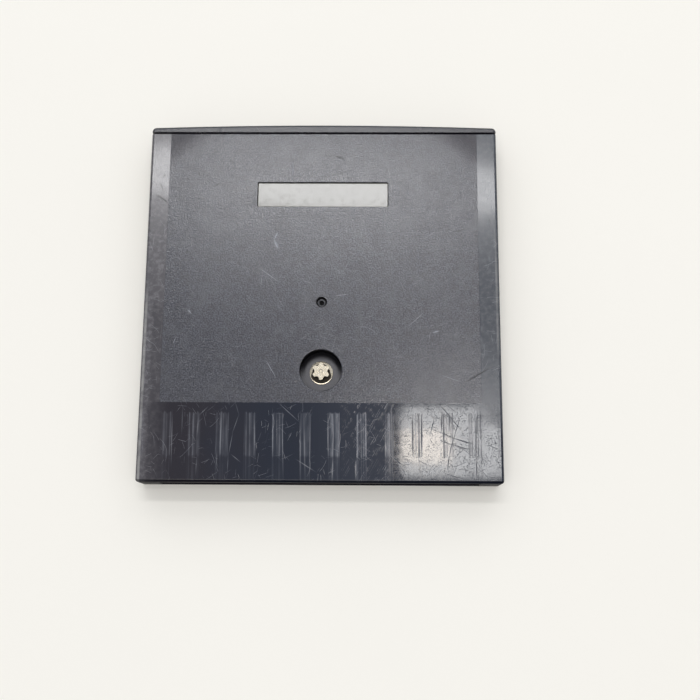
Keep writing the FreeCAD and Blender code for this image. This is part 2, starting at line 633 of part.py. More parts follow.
def make_chip_leads():
    """Two rows of gull-wing leads between the chip's sides and the board."""
    body = new_body("chip_leads", y="Sizes.chip_y", z=BOARD_TOP)
    thick = "Sizes.lead_thickness"
    level = "(Sizes.chip_standoff + Sizes.lead_level)"
    inner = "(Sizes.chip_width / 2)"
    knee = f"({inner} + Sizes.lead_shoulder)"
    heel = f"({knee} + Sizes.lead_slope)"
    toe = f"({heel} + Sizes.lead_foot)"
    drawing = new_sketch(body, "lead_profile", f"-({LEAD_ROW} + Sizes.lead_width) / 2", YZ)
    polygon(drawing, ((inner, f"{level} - {thick} / 2"), (f"{knee} - {thick}", f"{level} - {thick} / 2"),
                      (f"{heel} - {thick}", "0"), (toe, "0"), (toe, thick), (heel, thick),
                      (knee, f"{level} + {thick} / 2"), (inner, f"{level} + {thick} / 2")))
    lead = pad(body, drawing, "lead", "Sizes.lead_width")
    both = body.newObject("PartDesign::MultiTransform", "lead_rows")
    row = body.newObject("PartDesign::LinearPattern", "lead_row")
    row.Direction = (next(f for f in body.Origin.OriginFeatures if f.Role == "X_Axis"), [""])
    row.setExpression("Length", LEAD_ROW)
    row.setExpression("Occurrences", "Sizes.lead_count")
    far = body.newObject("PartDesign::Mirrored", "far_row")
    far.MirrorPlane = (next(f for f in body.Origin.OriginFeatures if f.Role == XZ), [""])
    both.Originals = [lead]
    both.Transformations = [row, far]
    body.Tip = both
    return body


def make_capacitor():
    """Ceramic block between two metal ends, all three on the board."""
    place = {"x": "Sizes.capacitor_x", "y": "Sizes.capacitor_y", "z": BOARD_TOP}
    half_length, half_width = "(Sizes.capacitor_length / 2)", "(Sizes.capacitor_width / 2)"
    inner = f"({half_length} - Sizes.terminal_length)"
    block = new_body("capacitor_body", **place)
    drawing = new_sketch(block, "block_plan", "Sizes.terminal_lap")
    rectangle(drawing, f"-{inner}", inner, f"-{half_width} + Sizes.terminal_lap",
              f"{half_width} - Sizes.terminal_lap")
    pad(block, drawing, "ceramic_block", "Sizes.capacitor_height - 2 * Sizes.terminal_lap")
    ends = new_body("capacitor_terminals", **place)
    drawing = new_sketch(ends, "terminal_plan", "0")
    for near, far in ((f"-{half_length}", f"-{inner}"), (inner, half_length)):
        rectangle(drawing, near, far, f"-{half_width}", half_width)
    pad(ends, drawing, "metal_ends", "Sizes.capacitor_height")
    return [block, ends]


sub_parts = [
    make_front_shell(),
    make_rear_shell(),
    make_shell_screw(),
    make_circuit_board(),
    make_edge_contacts(),
    make_memory_chip(),
    make_chip_leads(),
    *make_capacitor(),
]
doc.recompute()

for item in doc.Objects:
    if "Invalid" in item.State or "Error" in item.State:
        raise RuntimeError(f"{item.Label} did not compute")
for part in sub_parts:
    if part.Shape.isNull() or not part.Shape.isValid():
        raise RuntimeError(f"{part.Label} has no valid shape")

os.makedirs("parts", exist_ok=True)
for part in sub_parts:
    part.Shape.exportStep(f"parts/{part.Label}.step")
    box = part.Shape.BoundBox
    print(f"{part.Label}: {len(part.Shape.Solids)} solids, {part.Shape.Volume:.1f} mm3, "
          f"{box.XLength:.2f} x {box.YLength:.2f} x {box.ZLength:.2f}")
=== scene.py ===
import math

import bpy
import numpy as np
from mathutils import Matrix, Vector


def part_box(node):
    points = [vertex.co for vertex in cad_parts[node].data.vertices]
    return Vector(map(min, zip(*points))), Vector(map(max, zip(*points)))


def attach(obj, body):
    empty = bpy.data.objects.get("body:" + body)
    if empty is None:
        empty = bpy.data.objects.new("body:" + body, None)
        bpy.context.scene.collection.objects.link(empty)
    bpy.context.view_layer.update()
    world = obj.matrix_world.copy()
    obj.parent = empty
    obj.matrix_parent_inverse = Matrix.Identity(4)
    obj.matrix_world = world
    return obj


bl_info = {
    "name": "Game cartridge finish",
    "version": (1, 0, 0),
    "blender": (4, 5, 0),
    "location": "View3D > Sidebar > Cartridge",
    "description": "Gives the packed game cartridge its finishes, small fittings and stage",
    "category": "Object",
}

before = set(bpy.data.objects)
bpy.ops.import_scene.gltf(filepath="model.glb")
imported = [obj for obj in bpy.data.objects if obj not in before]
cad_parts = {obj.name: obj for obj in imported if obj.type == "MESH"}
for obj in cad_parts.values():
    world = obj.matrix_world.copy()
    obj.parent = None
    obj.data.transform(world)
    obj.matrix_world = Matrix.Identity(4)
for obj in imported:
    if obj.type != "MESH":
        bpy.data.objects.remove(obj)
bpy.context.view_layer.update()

# Materials work in millimetres and the frame in metres.
MM = 0.001
PER_MM = 1000.0

REAR_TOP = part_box("rear_shell")[1].z
BOARD_LOW, BOARD_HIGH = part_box("circuit_board")
SCREW_LOW, SCREW_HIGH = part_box("shell_screw")
LEADS_LOW, LEADS_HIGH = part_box("chip_leads")
CONTACTS_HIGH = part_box("edge_contacts")[1]
SCREW_AXIS = (SCREW_LOW + SCREW_HIGH) / 2


def size(name, description, default):
    """A length in metres."""
    return bpy.props.FloatProperty(
        name=name, description=description, default=default, unit="LENGTH", precision=5
    )


def share(name, description, default):
    """A number from nothing to all."""
    return bpy.props.FloatProperty(
        name=name, description=description, default=default, min=0.0, max=1.0, subtype="FACTOR"
    )


def level(name, description, default):
    """A brightness, from nothing upwards."""
    return bpy.props.FloatProperty(name=name, description=description, default=default, min=0.0)


def colour(name, description, default):
    """A colour, in linear light."""
    return bpy.props.FloatVectorProperty(
        name=name, description=description, default=default, size=3, subtype="COLOR",
        min=0.0, max=1.0,
    )


def point(name, description, default):
    """A place in metres."""
    return bpy.props.FloatVectorProperty(
        name=name, description=description, default=default, size=3, subtype="TRANSLATION",
        unit="LENGTH",
    )


class CARTRIDGE_PG_shell(bpy.types.PropertyGroup):
    """Moulded plastic of the two shells."""

    plastic: colour("Plastic", "Smooth moulded plastic", (0.0110, 0.0085, 0.0160))
    cool: colour("Cool plastic", "Smooth plastic where it is bluer", (0.0052, 0.0090, 0.0225))
    field: colour("Field", "Plastic where the mould is textured", (0.030, 0.0310, 0.041))
    rubbed: colour("Rubbed", "Plastic turned pale by rubbing", (0.31, 0.325, 0.38))
    field_half: size("Field half width", "Half width of the textured field", 29.9 * MM)
    field_low: size("Field low edge", "Lower edge of the textured field, in Y", -20.25 * MM)
    field_rough: share("Field roughness", "Roughness of the textured field", 0.14)
    band_rough: share("Band roughness", "Roughness of the smooth end band", 0.05)
    side_rough: share("Side roughness", "Roughness of the rubbed side bands", 0.19)
    grain: size("Grain", "Width of one grain of the texture", 0.28 * MM)
    grain_depth: size("Grain depth", "Depth of the texture", 0.010 * MM)


class CARTRIDGE_PG_wear(bpy.types.PropertyGroup):
    """Marks of use on the shells."""

    streak_pitch: size("Streak pitch", "Spacing of the rub streaks", 5.17 * MM)
    streak_width: size("Streak width", "Width of one group of streaks", 2.3 * MM)
    streak_top: size("Streak top", "Upper end of the streaks, in Y", -22.3 * MM)
    streak_end: size("Streak end", "Lower end of the streaks, in Y", -30.2 * MM)
    streak: share("Streaks", "How strongly the streaks show", 0.75)
    hairline: share("Hairlines", "How strongly random hairlines show", 0.6)
    mark: share("Marks", "How strongly single scratches show", 0.8)


class CARTRIDGE_PG_metal(bpy.types.PropertyGroup):
    """Screw, leads and contacts."""

    plating: colour("Plating", "Plated steel of the screw", (0.82, 0.75, 0.62))
    # Used for painted shade on the screw head as well as for its grime
    grime_and_shade: colour("Grime", "Dirt in the corners of the screw head", (0.014, 0.011, 0.009))
    tin: colour("Tin", "Tinned leads and solder", (0.66, 0.66, 0.64))
    gold: colour("Gold", "Plated edge contacts", (0.83, 0.58, 0.23))
    thread_pitch: size("Thread pitch", "Rise of the thread in one turn", 0.56 * MM)
    thread_crest: size("Thread crest", "Radius of the thread's crest", 1.36 * MM)
    thread_root: size("Thread root", "Radius that the thread grows from", 1.06 * MM)
    thread_low: size("Thread low end", "Height where the thread starts", 1.5 * MM)
    thread_high: size("Thread high end", "Height where the thread runs out", 2.85 * MM)


class CARTRIDGE_PG_board(bpy.types.PropertyGroup):
    """Circuit board and what is soldered to it."""

    mask: colour("Solder mask", "Lacquer over the laminate", (0.018, 0.105, 0.045))
    laminate: colour("Laminate", "Bare edge of the board", (0.42, 0.36, 0.20))
    track: colour("Track", "Lacquer over a copper track", (0.030, 0.165, 0.062))
    epoxy: colour("Epoxy", "Moulded chip body", (0.020, 0.020, 0.021))
    ceramic: colour("Ceramic", "Capacitor body", (0.34, 0.22, 0.12))
    track_width: size("Track width", "Width of a copper track", 0.34 * MM)
    track_height: size("Track height", "Height of a track above the board", 0.04 * MM)
    lead_pitch: size("Lead pitch", "Spacing of the chip's leads", 1.27 * MM)
    lead_foot: size("Lead foot", "Length of a lead's soldered foot", 0.75 * MM)
    lead_width: size("Lead width", "Width of a lead", 0.42 * MM)
    solder_height: size("Solder height", "Height of the solder on a foot", 0.16 * MM)
    solder_spread: size("Solder spread", "Reach of the solder beyond a foot", 0.24 * MM)
    lead_count: bpy.props.IntProperty(
        name="Leads", description="Leads in one row", default=16, min=1
    )
    contact_pitch: size("Contact pitch", "Spacing of the edge contacts", 1.25 * MM)


class CARTRIDGE_PG_stage(bpy.types.PropertyGroup):
    """Floor, light and camera."""

    floor: colour("Floor", "Pale paper of the floor", (0.930, 0.912, 0.865))
    floor_reach: size("Floor reach", "Radius of the floor", 1.8)
    room: colour("Room", "Colour of the room's soft light", (0.92, 0.96, 1.0))
    room_level: level("Room level", "Strength of the room's soft light", 0.35)
    strip_level: level("Strip level", "Brightness of the strip lamp", 14.0)
    ceiling_level: level("Ceiling level", "Brightness of the large lamp above", 0.24)
    panel_level: level("Panel level", "Brightness of the small panel", 10.5)
    warm_level: level("Warm level", "Brightness of the warm bulb panel", 7.8)
    top_level: level("Top level", "Brightness of the lamp over the camera", 4.3)
    back_level: level("Back level", "Brightness of the lamp beyond the lip", 0.7)
    camera_place: point("Camera place", "Where the camera stands", (0.00777, -0.04871, 0.1903))
    camera_aim: point("Camera aim", "Where the camera looks", (0.00545, -0.01026, 0.007))
    camera_up: bpy.props.FloatVectorProperty(
        name="Camera up", description="Direction of the picture's upper edge",
        default=(-0.0040, 0.9787, 0.2054), size=3, subtype="DIRECTION",
    )
    lens: bpy.props.FloatProperty(
        name="Lens", description="Focal length on a 36 mm sensor", default=51.43, unit="CAMERA"
    )


# Places, depths and pitches in mm. A mark's ellipse is endless in height, so that height doesn't
# count. The bright patch is the part of the end band right of its left end.
AXIS_X = SCREW_AXIS.x * PER_MM
AXIS_Y = SCREW_AXIS.y * PER_MM
GATE = (0.0, -1.0)
GATE_DEPTH = 0.80
WELL_DEPTH = 3.05
PLATE_FOOT = 17.0
PLATE_DEPTH = 0.35
PATCH_LEFT = 12.0
REAR_END = -34.48
FRONT_END = -34.3
LIP_FOOT = 33.2
WARP_PITCH = 0.62
WEFT_PITCH = 0.54
ENDLESS = 1.0e6

# How strongly clear surfaces bend light
PLASTIC_IOR = 1.54
LACQUER_IOR = 1.53
EPOXY_IOR = 1.56
CERAMIC_IOR = 1.7

# Colours of single places and flaws, and of painted light and shade, in linear light
# Black is painted shade on walls, pits and ends, and also the colour of the dark scratches
BLACK = (0.004, 0.004, 0.005)
GRAIN_CROWN_HIGHLIGHT = (0.116, 0.118, 0.142)
FIELD_MOTTLE = (0.034, 0.035, 0.042)
PALE_CLOUD = (0.090, 0.092, 0.106)
DARK_CLOUD = (0.034, 0.034, 0.044)
FRESH_FIELD = (0.028, 0.025, 0.034)
LEFT_BAND = (0.122, 0.117, 0.131)
RIGHT_BAND = (0.063, 0.070, 0.086)
# Painted light: the shaded well floor made lighter
WELL_FLOOR_LIGHTENED = (0.068, 0.068, 0.086)
# Pale strip painted as a highlight on the edge rounding
EDGE_HIGHLIGHT = (0.30, 0.297, 0.295)
PLATE = (0.045, 0.043, 0.030)
LIP = (0.045, 0.046, 0.055)
STAINED_PLATING = (0.70, 0.60, 0.45)
WIPED_GOLD = (0.70, 0.56, 0.34)
TARNISH = (0.34, 0.20, 0.08)
WEAVE_GREEN = (0.026, 0.135, 0.062)
DEEP_GREEN = (0.010, 0.070, 0.030)
PLY = (0.28, 0.23, 0.12)
PALE_TRACK = (0.045, 0.190, 0.055)
EPOXY_FILLER = (0.055, 0.054, 0.052)
DULL_TIN = (0.46, 0.45, 0.42)
CERAMIC_SPECK = (0.46, 0.33, 0.20)

# Random hairlines: cell, length and width in mm, share of the cells that have one, bow.
REAR_HAIRLINES = (
    (2.6, 2.4, 0.07, 0.8, 0.06), (1.3, 1.2, 0.05, 0.6, 0.01), (1.9, 1.8, 0.06, 0.75, 0.02),
    (3.4, 3.2, 0.07, 0.8, 0.10), (4.6, 4.4, 0.07, 0.7, 0.03), (6.5, 6.0, 0.09, 0.7, 0.15),
)
FRONT_HAIRLINES = ((3.0, 2.4, 0.05, 0.6, 0.05), (1.4, 1.1, 0.04, 0.5, 0.0))
DASHES = ((0.55, 0.5, 0.06, 0.6, 0.0), (0.9, 0.8, 0.05, 0.6, 0.0))

# Single marks of the rear face: X, Y and length in mm, lean from +X in degrees, strength.
# Rub lines run with the way in, and scratches go their own way. Dark scratches show dark on the
# field, and smudges are short and broad.
RUB_LINES = (
    (-27.3, -27.0, 9.0, 91, 0.9), (-25.5, -23.6, 4.9, 90, 0.5), (-22.6, -25.0, 4.6, 87, 0.6),
    (-22.6, -32.0, 3.2, 88, 0.5), (-18.3, -26.4, 7.9, 90, 0.9), (-17.2, -26.4, 7.6, 92, 0.5),
    (-18.9, -31.0, 3.7, 89, 0.6), (-12.0, -26.8, 7.8, 93, 0.8), (-8.7, -26.4, 7.6, 91, 0.8),
    (-7.9, -26.4, 7.6, 92, 0.5), (-6.8, -28.6, 12.0, 92, 0.6), (-3.6, -28.5, 11.4, 91, 0.8),
    (-2.8, -28.5, 11.4, 92, 0.7), (-1.8, -28.5, 11.4, 90, 0.7), (1.5, -26.4, 7.8, 91, 1.0),
    (2.5, -26.4, 7.8, 89, 0.6), (3.5, -26.4, 7.8, 90, 0.6), (2.4, -32.6, 3.8, 88, 0.9),
    (6.7, -32.6, 3.8, 90, 1.0), (8.5, -26.4, 7.0, 90, 0.5), (12.2, -28.5, 1.7, 91, 0.6),
    (17.0, -26.2, 7.4, 90, 0.6), (18.7, -26.2, 7.4, 90, 1.0), (22.4, -24.1, 3.3, 89, 0.7),
    (23.8, -24.1, 3.3, 89, 0.6), (28.7, -26.8, 7.9, 89, 1.0), (28.7, -32.5, 3.6, 90, 0.7),
)
BAND_SCRATCHES = (
    (-21.6, -21.9, 2.2, 46, 0.9), (-15.4, -21.4, 2.6, 108, 0.5), (-15.6, -24.3, 3.5, 72, 0.8),
    (-16.4, -28.0, 4.1, 81, 0.9), (-16.8, -31.7, 3.3, 89, 0.6), (-15.4, -30.6, 2.2, 141, 0.9),
    (-5.9, -22.0, 5.1, 138, 1.0), (-2.5, -31.9, 4.0, 148, 1.0), (14.0, -30.8, 2.9, 141, 0.9),
    (20.7, -24.5, 3.4, 76, 0.6), (24.2, -23.0, 7.1, 129, 0.7), (25.2, -24.9, 4.0, 73, 0.7),
    (24.2, -28.2, 2.9, 74, 0.8), (23.6, -31.0, 2.9, 82, 0.8), (23.4, -26.2, 2.6, 155, 0.9),
    (26.4, -27.3, 3.8, 163, 0.9), (23.1, -27.5, 2.0, 159, 0.7), (25.9, -28.4, 3.8, 165, 0.6),
    (24.7, -33.8, 2.8, 162, 0.6),
)
FIELD_SCRATCHES = (
    (-5.9, 25.6, 3.9, 90, 1.0), (-8.9, 12.1, 1.8, 65, 0.7), (-8.9, 10.4, 2.0, 114, 1.0),
    (-10.2, 4.4, 5.0, 144, 0.8), (-11.5, 3.0, 2.6, 87, 0.6), (-2.6, 2.9, 3.2, 166, 0.4),
    (-9.3, -13.9, 3.9, 120, 1.0), (-27.6, -8.6, 1.4, 69, 0.9), (-32.3, -8.7, 1.8, 140, 0.8),
    (-24.9, -3.0, 1.1, 135, 0.9), (20.6, 12.3, 3.9, 38, 0.4), (3.8, 0.4, 2.9, 8, 0.8),
    (17.8, -4.4, 4.5, 44, 0.6), (21.6, -6.7, 1.6, 15, 1.0), (24.3, -15.6, 5.1, 161, 0.6),
    (20.4, -7.5, 1.6, 83, 0.5),
)
DARK_SCRATCHES = (
    (-25.0, 25.2, 0.8, 163, 0.9), (-24.2, 24.7, 0.8, 128, 0.9), (-26.3, 23.6, 0.9, 153, 0.6),
    (-20.6, 22.4, 1.4, 28, 0.7), (3.1, 28.2, 2.5, 161, 0.8), (-25.7, 8.8, 1.6, 0, 0.8),
    (-12.9, 10.3, 0.5, 153, 0.8), (-16.5, 14.3, 1.6, 124, 0.5), (26.2, 13.2, 4.4, 16, 0.5),
    (29.1, -15.0, 5.7, 30, 1.0), (-31.0, 24.2, 1.0, 67, 0.8), (-31.0, 19.5, 2.6, 141, 0.9),
    (-31.4, 22.1, 1.6, 114, 0.8),
)
SMUDGES = (
    (-8.9, 12.1, 1.8, 65, 0.5), (-8.8, 10.4, 2.2, 114, 0.8), (21.6, -6.7, 1.0, 15, 0.5),
    (-25.0, -2.9, 0.8, 135, 0.5),
)


class Finish:
    """One material in the making, with its place on the object in millimetres.

    Every input may be a plain number, a colour or the output of another node.
    """

    def __init__(self, name):
        self.material = bpy.data.materials.new(name)
        self.material.use_nodes = True
        self.tree = self.material.node_tree
        self.shader = self.tree.nodes["Principled BSDF"]
        here = self.add("ShaderNodeTexCoord").outputs["Object"]
        self.place = self.vector("SCALE", here, Scale=PER_MM)
        split = self.add("ShaderNodeSeparateXYZ", Vector=self.place)
        self.x, self.y, self.z = split.outputs
        # A slanted plan, so that a flat pattern also reads well on upright walls
        flat_x = self.weighted(self.x, (self.z, 0.7))
        flat_y = self.weighted(self.y, (self.z, 1.3))
        self.flat = self.add("ShaderNodeCombineXYZ", X=flat_x, Y=flat_y).outputs[0]

    def join(self, socket, value):
        """Links an output to a socket, or sets the socket to a number or colour."""
        if isinstance(value, bpy.types.NodeSocket):
            self.tree.links.new(value, socket)
        elif socket.type == "RGBA":
            socket.default_value = (*value, 1.0)
        else:
            socket.default_value = value

    def add(self, kind, settings=None, **inputs):
        """A node with its settings and inputs; an underline in an input's name is a blank."""
        node = self.tree.nodes.new(kind)
        for key, value in (settings or {}).items():
            setattr(node, key, value)
        for key, value in inputs.items():
            self.join(node.inputs[key.replace("_", " ")], value)
        return node

    def math(self, operation, *inputs, clamp=False):
        node = self.add("ShaderNodeMath", {"operation": operation, "use_clamp": clamp})
        for socket, value in zip(node.inputs, inputs):
            self.join(socket, value)
        return node.outputs[0]

    def vector(self, operation, *inputs, output=0, **named):
        node = self.add("ShaderNodeVectorMath", {"operation": operation}, **named)
        for socket, value in zip(node.inputs, inputs):
            self.join(socket, value)
        return node.outputs[output]

    def fold(self, operation, first, *others):
        """One operation carried on over several values."""
        for value in others:
            first = self.math(operation, first, value)
        return first

    def product(self, *factors):
        return self.fold("MULTIPLY", *factors)

    def total(self, *values):
        return self.fold("ADD", *values)

    def most(self, *values):
        return self.fold("MAXIMUM", *values)

    def weighted(self, start, *parts):
        """The start plus each part times its weight."""
        for part, weight in parts:
            start = self.math("MULTIPLY_ADD", part, weight, start)
        return start

    def inverse(self, amount):
        return self.math("SUBTRACT", 1.0, amount)

    def ramp(self, value, start, end, low=0.0, high=1.0):
        """A smooth step from low at start to high at end."""
        node = self.add("ShaderNodeMapRange", {"interpolation_type": "SMOOTHSTEP"})
        for socket, entry in zip(node.inputs, (value, start, end, low, high)):
            self.join(socket, entry)
        return node.outputs[0]

    def noise(self, width, detail=2.0, where=None, roughness=0.5):
        """Soft random pattern whose lumps are about as wide as the given millimetres."""
        node = self.add(
            "ShaderNodeTexNoise", Vector=where or self.place, Scale=1.0 / width,
            Detail=detail, Roughness=roughness,
        )
        return node.outputs["Fac"]

    def lines(self, along, width, detail=1.0):
        """Random pattern along one direction only, for streaks that run across it."""
        node = self.add(
            "ShaderNodeTexNoise", {"noise_dimensions": "1D"}, W=along, Scale=1.0 / width,
            Detail=detail,
        )
        return node.outputs["Fac"]

    def blend(self, amount, first, second):
        """A number between two others."""
        node = self.add("ShaderNodeMix")
        for index, value in ((0, amount), (2, first), (3, second)):
            self.join(node.inputs[index], value)
        return node.outputs[0]

    def tint(self, amount, first, second):
        """A colour between two others."""
        node = self.add("ShaderNodeMix", {"data_type": "RGBA"})
        for index, value in ((0, amount), (6, first), (7, second)):
            self.join(node.inputs[index], value)
        return node.outputs[2]

    def distance(self, x, y):
        """Distance in plan from an upright axis through a point."""
        plan = self.vector("MULTIPLY", self.place, (1.0, 1.0, 0.0))
        return self.vector("DISTANCE", plan, (x, y, 0.0), output="Value")

    def hairlines(self, cell, length, width, keep, bow=0.0):
        """One straight or bowed stroke in some cells of a random net, each turned its own way.

        A point's distance from its cell's centre is turned by the cell's random angle. The
        stroke is where the part across is small and the part along is within the length.
        """
        net = self.add(
            "ShaderNodeTexVoronoi", {"voronoi_dimensions": "2D"}, Vector=self.flat,
            Scale=1.0 / cell,
        )
        chance = self.add("ShaderNodeSeparateColor", Color=net.outputs["Color"]).outputs
        away = self.vector("SUBTRACT", self.flat, net.outputs["Position"])
        turn = self.product(chance[0], math.pi)
        turned = self.add(
            "ShaderNodeVectorRotate", {"rotation_type": "Z_AXIS"}, Vector=away, Angle=turn
        ).outputs[0]
        part = self.add("ShaderNodeSeparateXYZ", Vector=turned).outputs
        along = self.math("ABSOLUTE", part[0])
        bent = self.product(part[0], part[0])
        across = self.math("ABSOLUTE", self.weighted(part[1], (bent, bow)))
        return self.product(
            self.ramp(across, width, 0.0),
            self.ramp(along, length * 0.5, length * 0.3),
            self.math("GREATER_THAN", chance[1], 1.0 - keep),
            self.weighted(0.3, (chance[2], 0.7)),
        )

    def strokes(self, rows):
        """Several nets of hairlines laid over each other."""
        return self.most(*(self.hairlines(*row) for row in rows))

    def marks(self, rows, width):
        """Single scratches: long thin ellipses, each full in its middle and fading outwards."""
        total = 0.0
        for x, y, length, lean, strength in rows:
            ellipse = self.add(
                "ShaderNodeMapping", {"vector_type": "TEXTURE"}, Vector=self.place,
                Location=(x, y, 0.0), Rotation=(0.0, 0.0, math.radians(lean)),
                Scale=(length * 0.62, width, ENDLESS),
            ).outputs[0]
            near = self.add(
                "ShaderNodeTexGradient", {"gradient_type": "SPHERICAL"}, Vector=ellipse
            ).outputs["Fac"]
            total = self.weighted(total, (near, strength))
        return self.math("MINIMUM", total, 1.0)

    def relief(self, height):
        """Bump from a height in millimetres."""
        node = self.add("ShaderNodeBump", Height=height, Distance=MM, Strength=1.0)
        self.join(self.shader.inputs["Normal"], node.outputs[0])

    def set(self, **inputs):
        """Gives the shader its inputs."""
        for key, value in inputs.items():
            self.join(self.shader.inputs[key.replace("_", " ")], value)


def rub_streaks(f, wear, face):
    """Streaks where the slot's ribs rub: groups at an even pitch, each hazy with fine lines.

    Each group has its own width and strength, and its lines fade in and out on the way. The
    first result is the haze of the groups and the second their lines.
    """
    pitch = wear.streak_pitch * PER_MM
    upper = wear.streak_top * PER_MM
    lower = wear.streak_end * PER_MM
    turns = f.math("DIVIDE", f.x, pitch)
    which = f.math("FLOOR", turns)
    own = f.lines(which, 0.37)
    other = f.lines(f.total(which, 40.3), 0.41)
    wide = f.ramp(own, 0.3, 0.7, 0.7, 1.1)
    strong = f.ramp(other, 0.3, 0.7, 0.4, 1.0)
    drift = f.weighted(0.5, (f.math("SUBTRACT", own, 0.5), 0.12))
    off_centre = f.math("ABSOLUTE", f.math("SUBTRACT", f.math("FRACT", turns), drift))
    half = f.product(wide, wear.streak_width * PER_MM / 2 / pitch)
    inside = f.ramp(f.math("DIVIDE", off_centre, half), 1.1, 0.86)
    ragged = f.weighted(f.y, (f.lines(f.x, 0.5), 0.8))
    length = f.product(
        f.ramp(ragged, upper + 0.7, upper + 0.3),
        f.ramp(ragged, lower + 0.1, lower + 0.7, 0.25, 1.0),
    )
    stretched = f.vector("MULTIPLY", f.place, (1.0, 0.22, 0.0))
    fading = f.ramp(f.noise(0.8, 2.0, stretched), 0.3, 0.62, 0.45, 1.0)
    haze = f.product(inside, length, fading, strong, face, wear.streak)
    sway = f.weighted(f.x, (f.y, 0.014))
    fine = f.ramp(f.lines(sway, 0.42, 2.0), 0.42, 0.7)
    return haze, f.product(haze, fine)


def slanting_hatch(f):
    """A patch of fine parallel scratches right of the middle of the end band."""
    lean = math.radians(62.0)
    over = f.weighted(f.product(f.y, -math.cos(lean)), (f.x, math.sin(lean)))
    before_patch = f.ramp(f.x, PATCH_LEFT + 4.0, PATCH_LEFT)
    zone = f.product(f.ramp(f.x, -3.0, 8.0), before_patch, f.ramp(f.y, -19.9, -20.4))
    broken = f.ramp(f.noise(0.9, 2.0), 0.35, 0.6)
    return f.product(f.ramp(f.lines(over, 0.11, 1.0), 0.54, 0.76), broken, zone, 0.75)


def sunk_parts(f, across, top):
    """Gate mark and screw well: dull floors, walls and pit painted black as shade, and painted
    shade on the well floor behind the screw.

    The results are the well's floor, the painted shade on it, the floors of both, and their walls.
    """
    middle = f.product(
        f.ramp(across, 5.2, 5.0), f.ramp(f.y, 2.2, 2.0), f.ramp(f.y, -20.0, -19.8)
    )
    gate = f.product(middle, f.ramp(f.y, -5.0, -4.0), f.ramp(f.z, top - 0.05, top - 0.15))
    gate_z = top - GATE_DEPTH
    from_gate = f.distance(*GATE)
    gate_floor = f.product(
        gate, f.ramp(f.z, gate_z + 0.08, gate_z + 0.03), f.ramp(f.z, gate_z - 0.08, gate_z - 0.03),
        f.ramp(from_gate, 0.74, 0.62), f.ramp(from_gate, 0.46, 0.54),
    )
    well = f.product(middle, f.ramp(f.z, top - 0.1, top - 0.3), f.ramp(f.y, -4.0, -5.0))
    well_z = top - WELL_DEPTH
    well_floor = f.product(well, f.ramp(f.z, well_z + 0.15, well_z))
    # Painted shade on the well floor along its far wall, darkest behind the screw
    darkening = f.product(
        well_floor, f.ramp(f.distance(AXIS_X, AXIS_Y), 2.5, 3.6),
        f.ramp(f.math("SUBTRACT", f.y, AXIS_Y), -1.8, 2.0),
    )
    floors = f.most(gate_floor, well_floor)
    # Walls and the gate's pit, which are painted black as shade
    walls = f.math("SUBTRACT", f.most(gate, well), floors)
    return well_floor, darkening, floors, walls


def side_bands(f, across, half, below, right, low):
    """Side bands: crisp beside the field, soft beside the end band, gone at the lower right.

    The second result is a dark strip with a ragged end, which the left band keeps beside the
    lower field.
    """
    crisp = f.ramp(across, half - 0.1, half + 0.1)
    soft = f.ramp(across, 27.5, 32.5, 0.0, 0.85)
    lower_right = f.product(right, f.ramp(f.y, low - 2.5, low - 6.0))
    side = f.product(f.blend(below, crisp, soft), f.inverse(lower_right))
    ragged = f.weighted(f.y, (f.noise(1.0, 4.0, f.place, 0.7), 8.0))
    frayed = f.weighted(across, (f.noise(0.7, 4.0, f.place, 0.7), 2.0))
    kept = f.product(
        f.ramp(frayed, 33.3, 32.7), f.ramp(ragged, 4.0, 1.0), f.inverse(right), 0.45
    )
    return side, kept


def rear_scratches(f, wear, face):
    """Hairlines with the hatch, then pale single marks, then dark ones."""
    patches = f.ramp(f.noise(5.0, 1.0), 0.38, 0.6, 0.35, 1.0)
    hair = f.most(f.product(f.strokes(REAR_HAIRLINES), patches), slanting_hatch(f))
    hair = f.product(f.ramp(hair, 0.25, 0.8), wear.hairline, face)
    single = f.total(
        f.marks(RUB_LINES, 0.15), f.marks(BAND_SCRATCHES, 0.10),
        f.ramp(f.marks(FIELD_SCRATCHES, 0.08), 0.05, 0.6), f.marks(SMUDGES, 0.4),
    )
    single = f.math("MINIMUM", f.product(single, face, wear.mark), 1.0)
    cut = f.product(f.ramp(f.marks(DARK_SCRATCHES, 0.14), 0.03, 0.45), face, wear.mark)
    return hair, single, cut


def rear_dents(f, dented):
    """Short dashes and specks of the end band's right part, thickest at its right end."""
    specks = f.ramp(f.noise(0.2, 2.0, f.place, 0.6), 0.54, 0.64, 0.0, 0.7)
    return f.product(
        f.most(f.strokes(DASHES), specks), dented,
        f.ramp(f.noise(2.4, 2.0), 0.35, 0.6, 0.3, 1.0), f.ramp(f.x, 23.0, 28.0, 0.9, 1.5),
    )


def edge_highlights(f):
    """Painted highlight on the rounding along the left side below the middle, and a little on the
    right.
    """
    left = f.product(
        f.ramp(f.x, -32.85, -33.1), f.ramp(f.x, -33.5, -33.38), f.ramp(f.y, 6.0, -6.0)
    )
    right = f.product(
        f.ramp(f.x, 32.85, 33.1), f.ramp(f.x, 33.5, 33.38), f.ramp(f.y, 16.0, 8.0),
        f.ramp(f.y, -14.0, -8.0), 0.5,
    )
    return f.product(f.total(left, right), f.ramp(f.noise(1.6, 3.0), 0.3, 0.6, 0.35, 0.75))


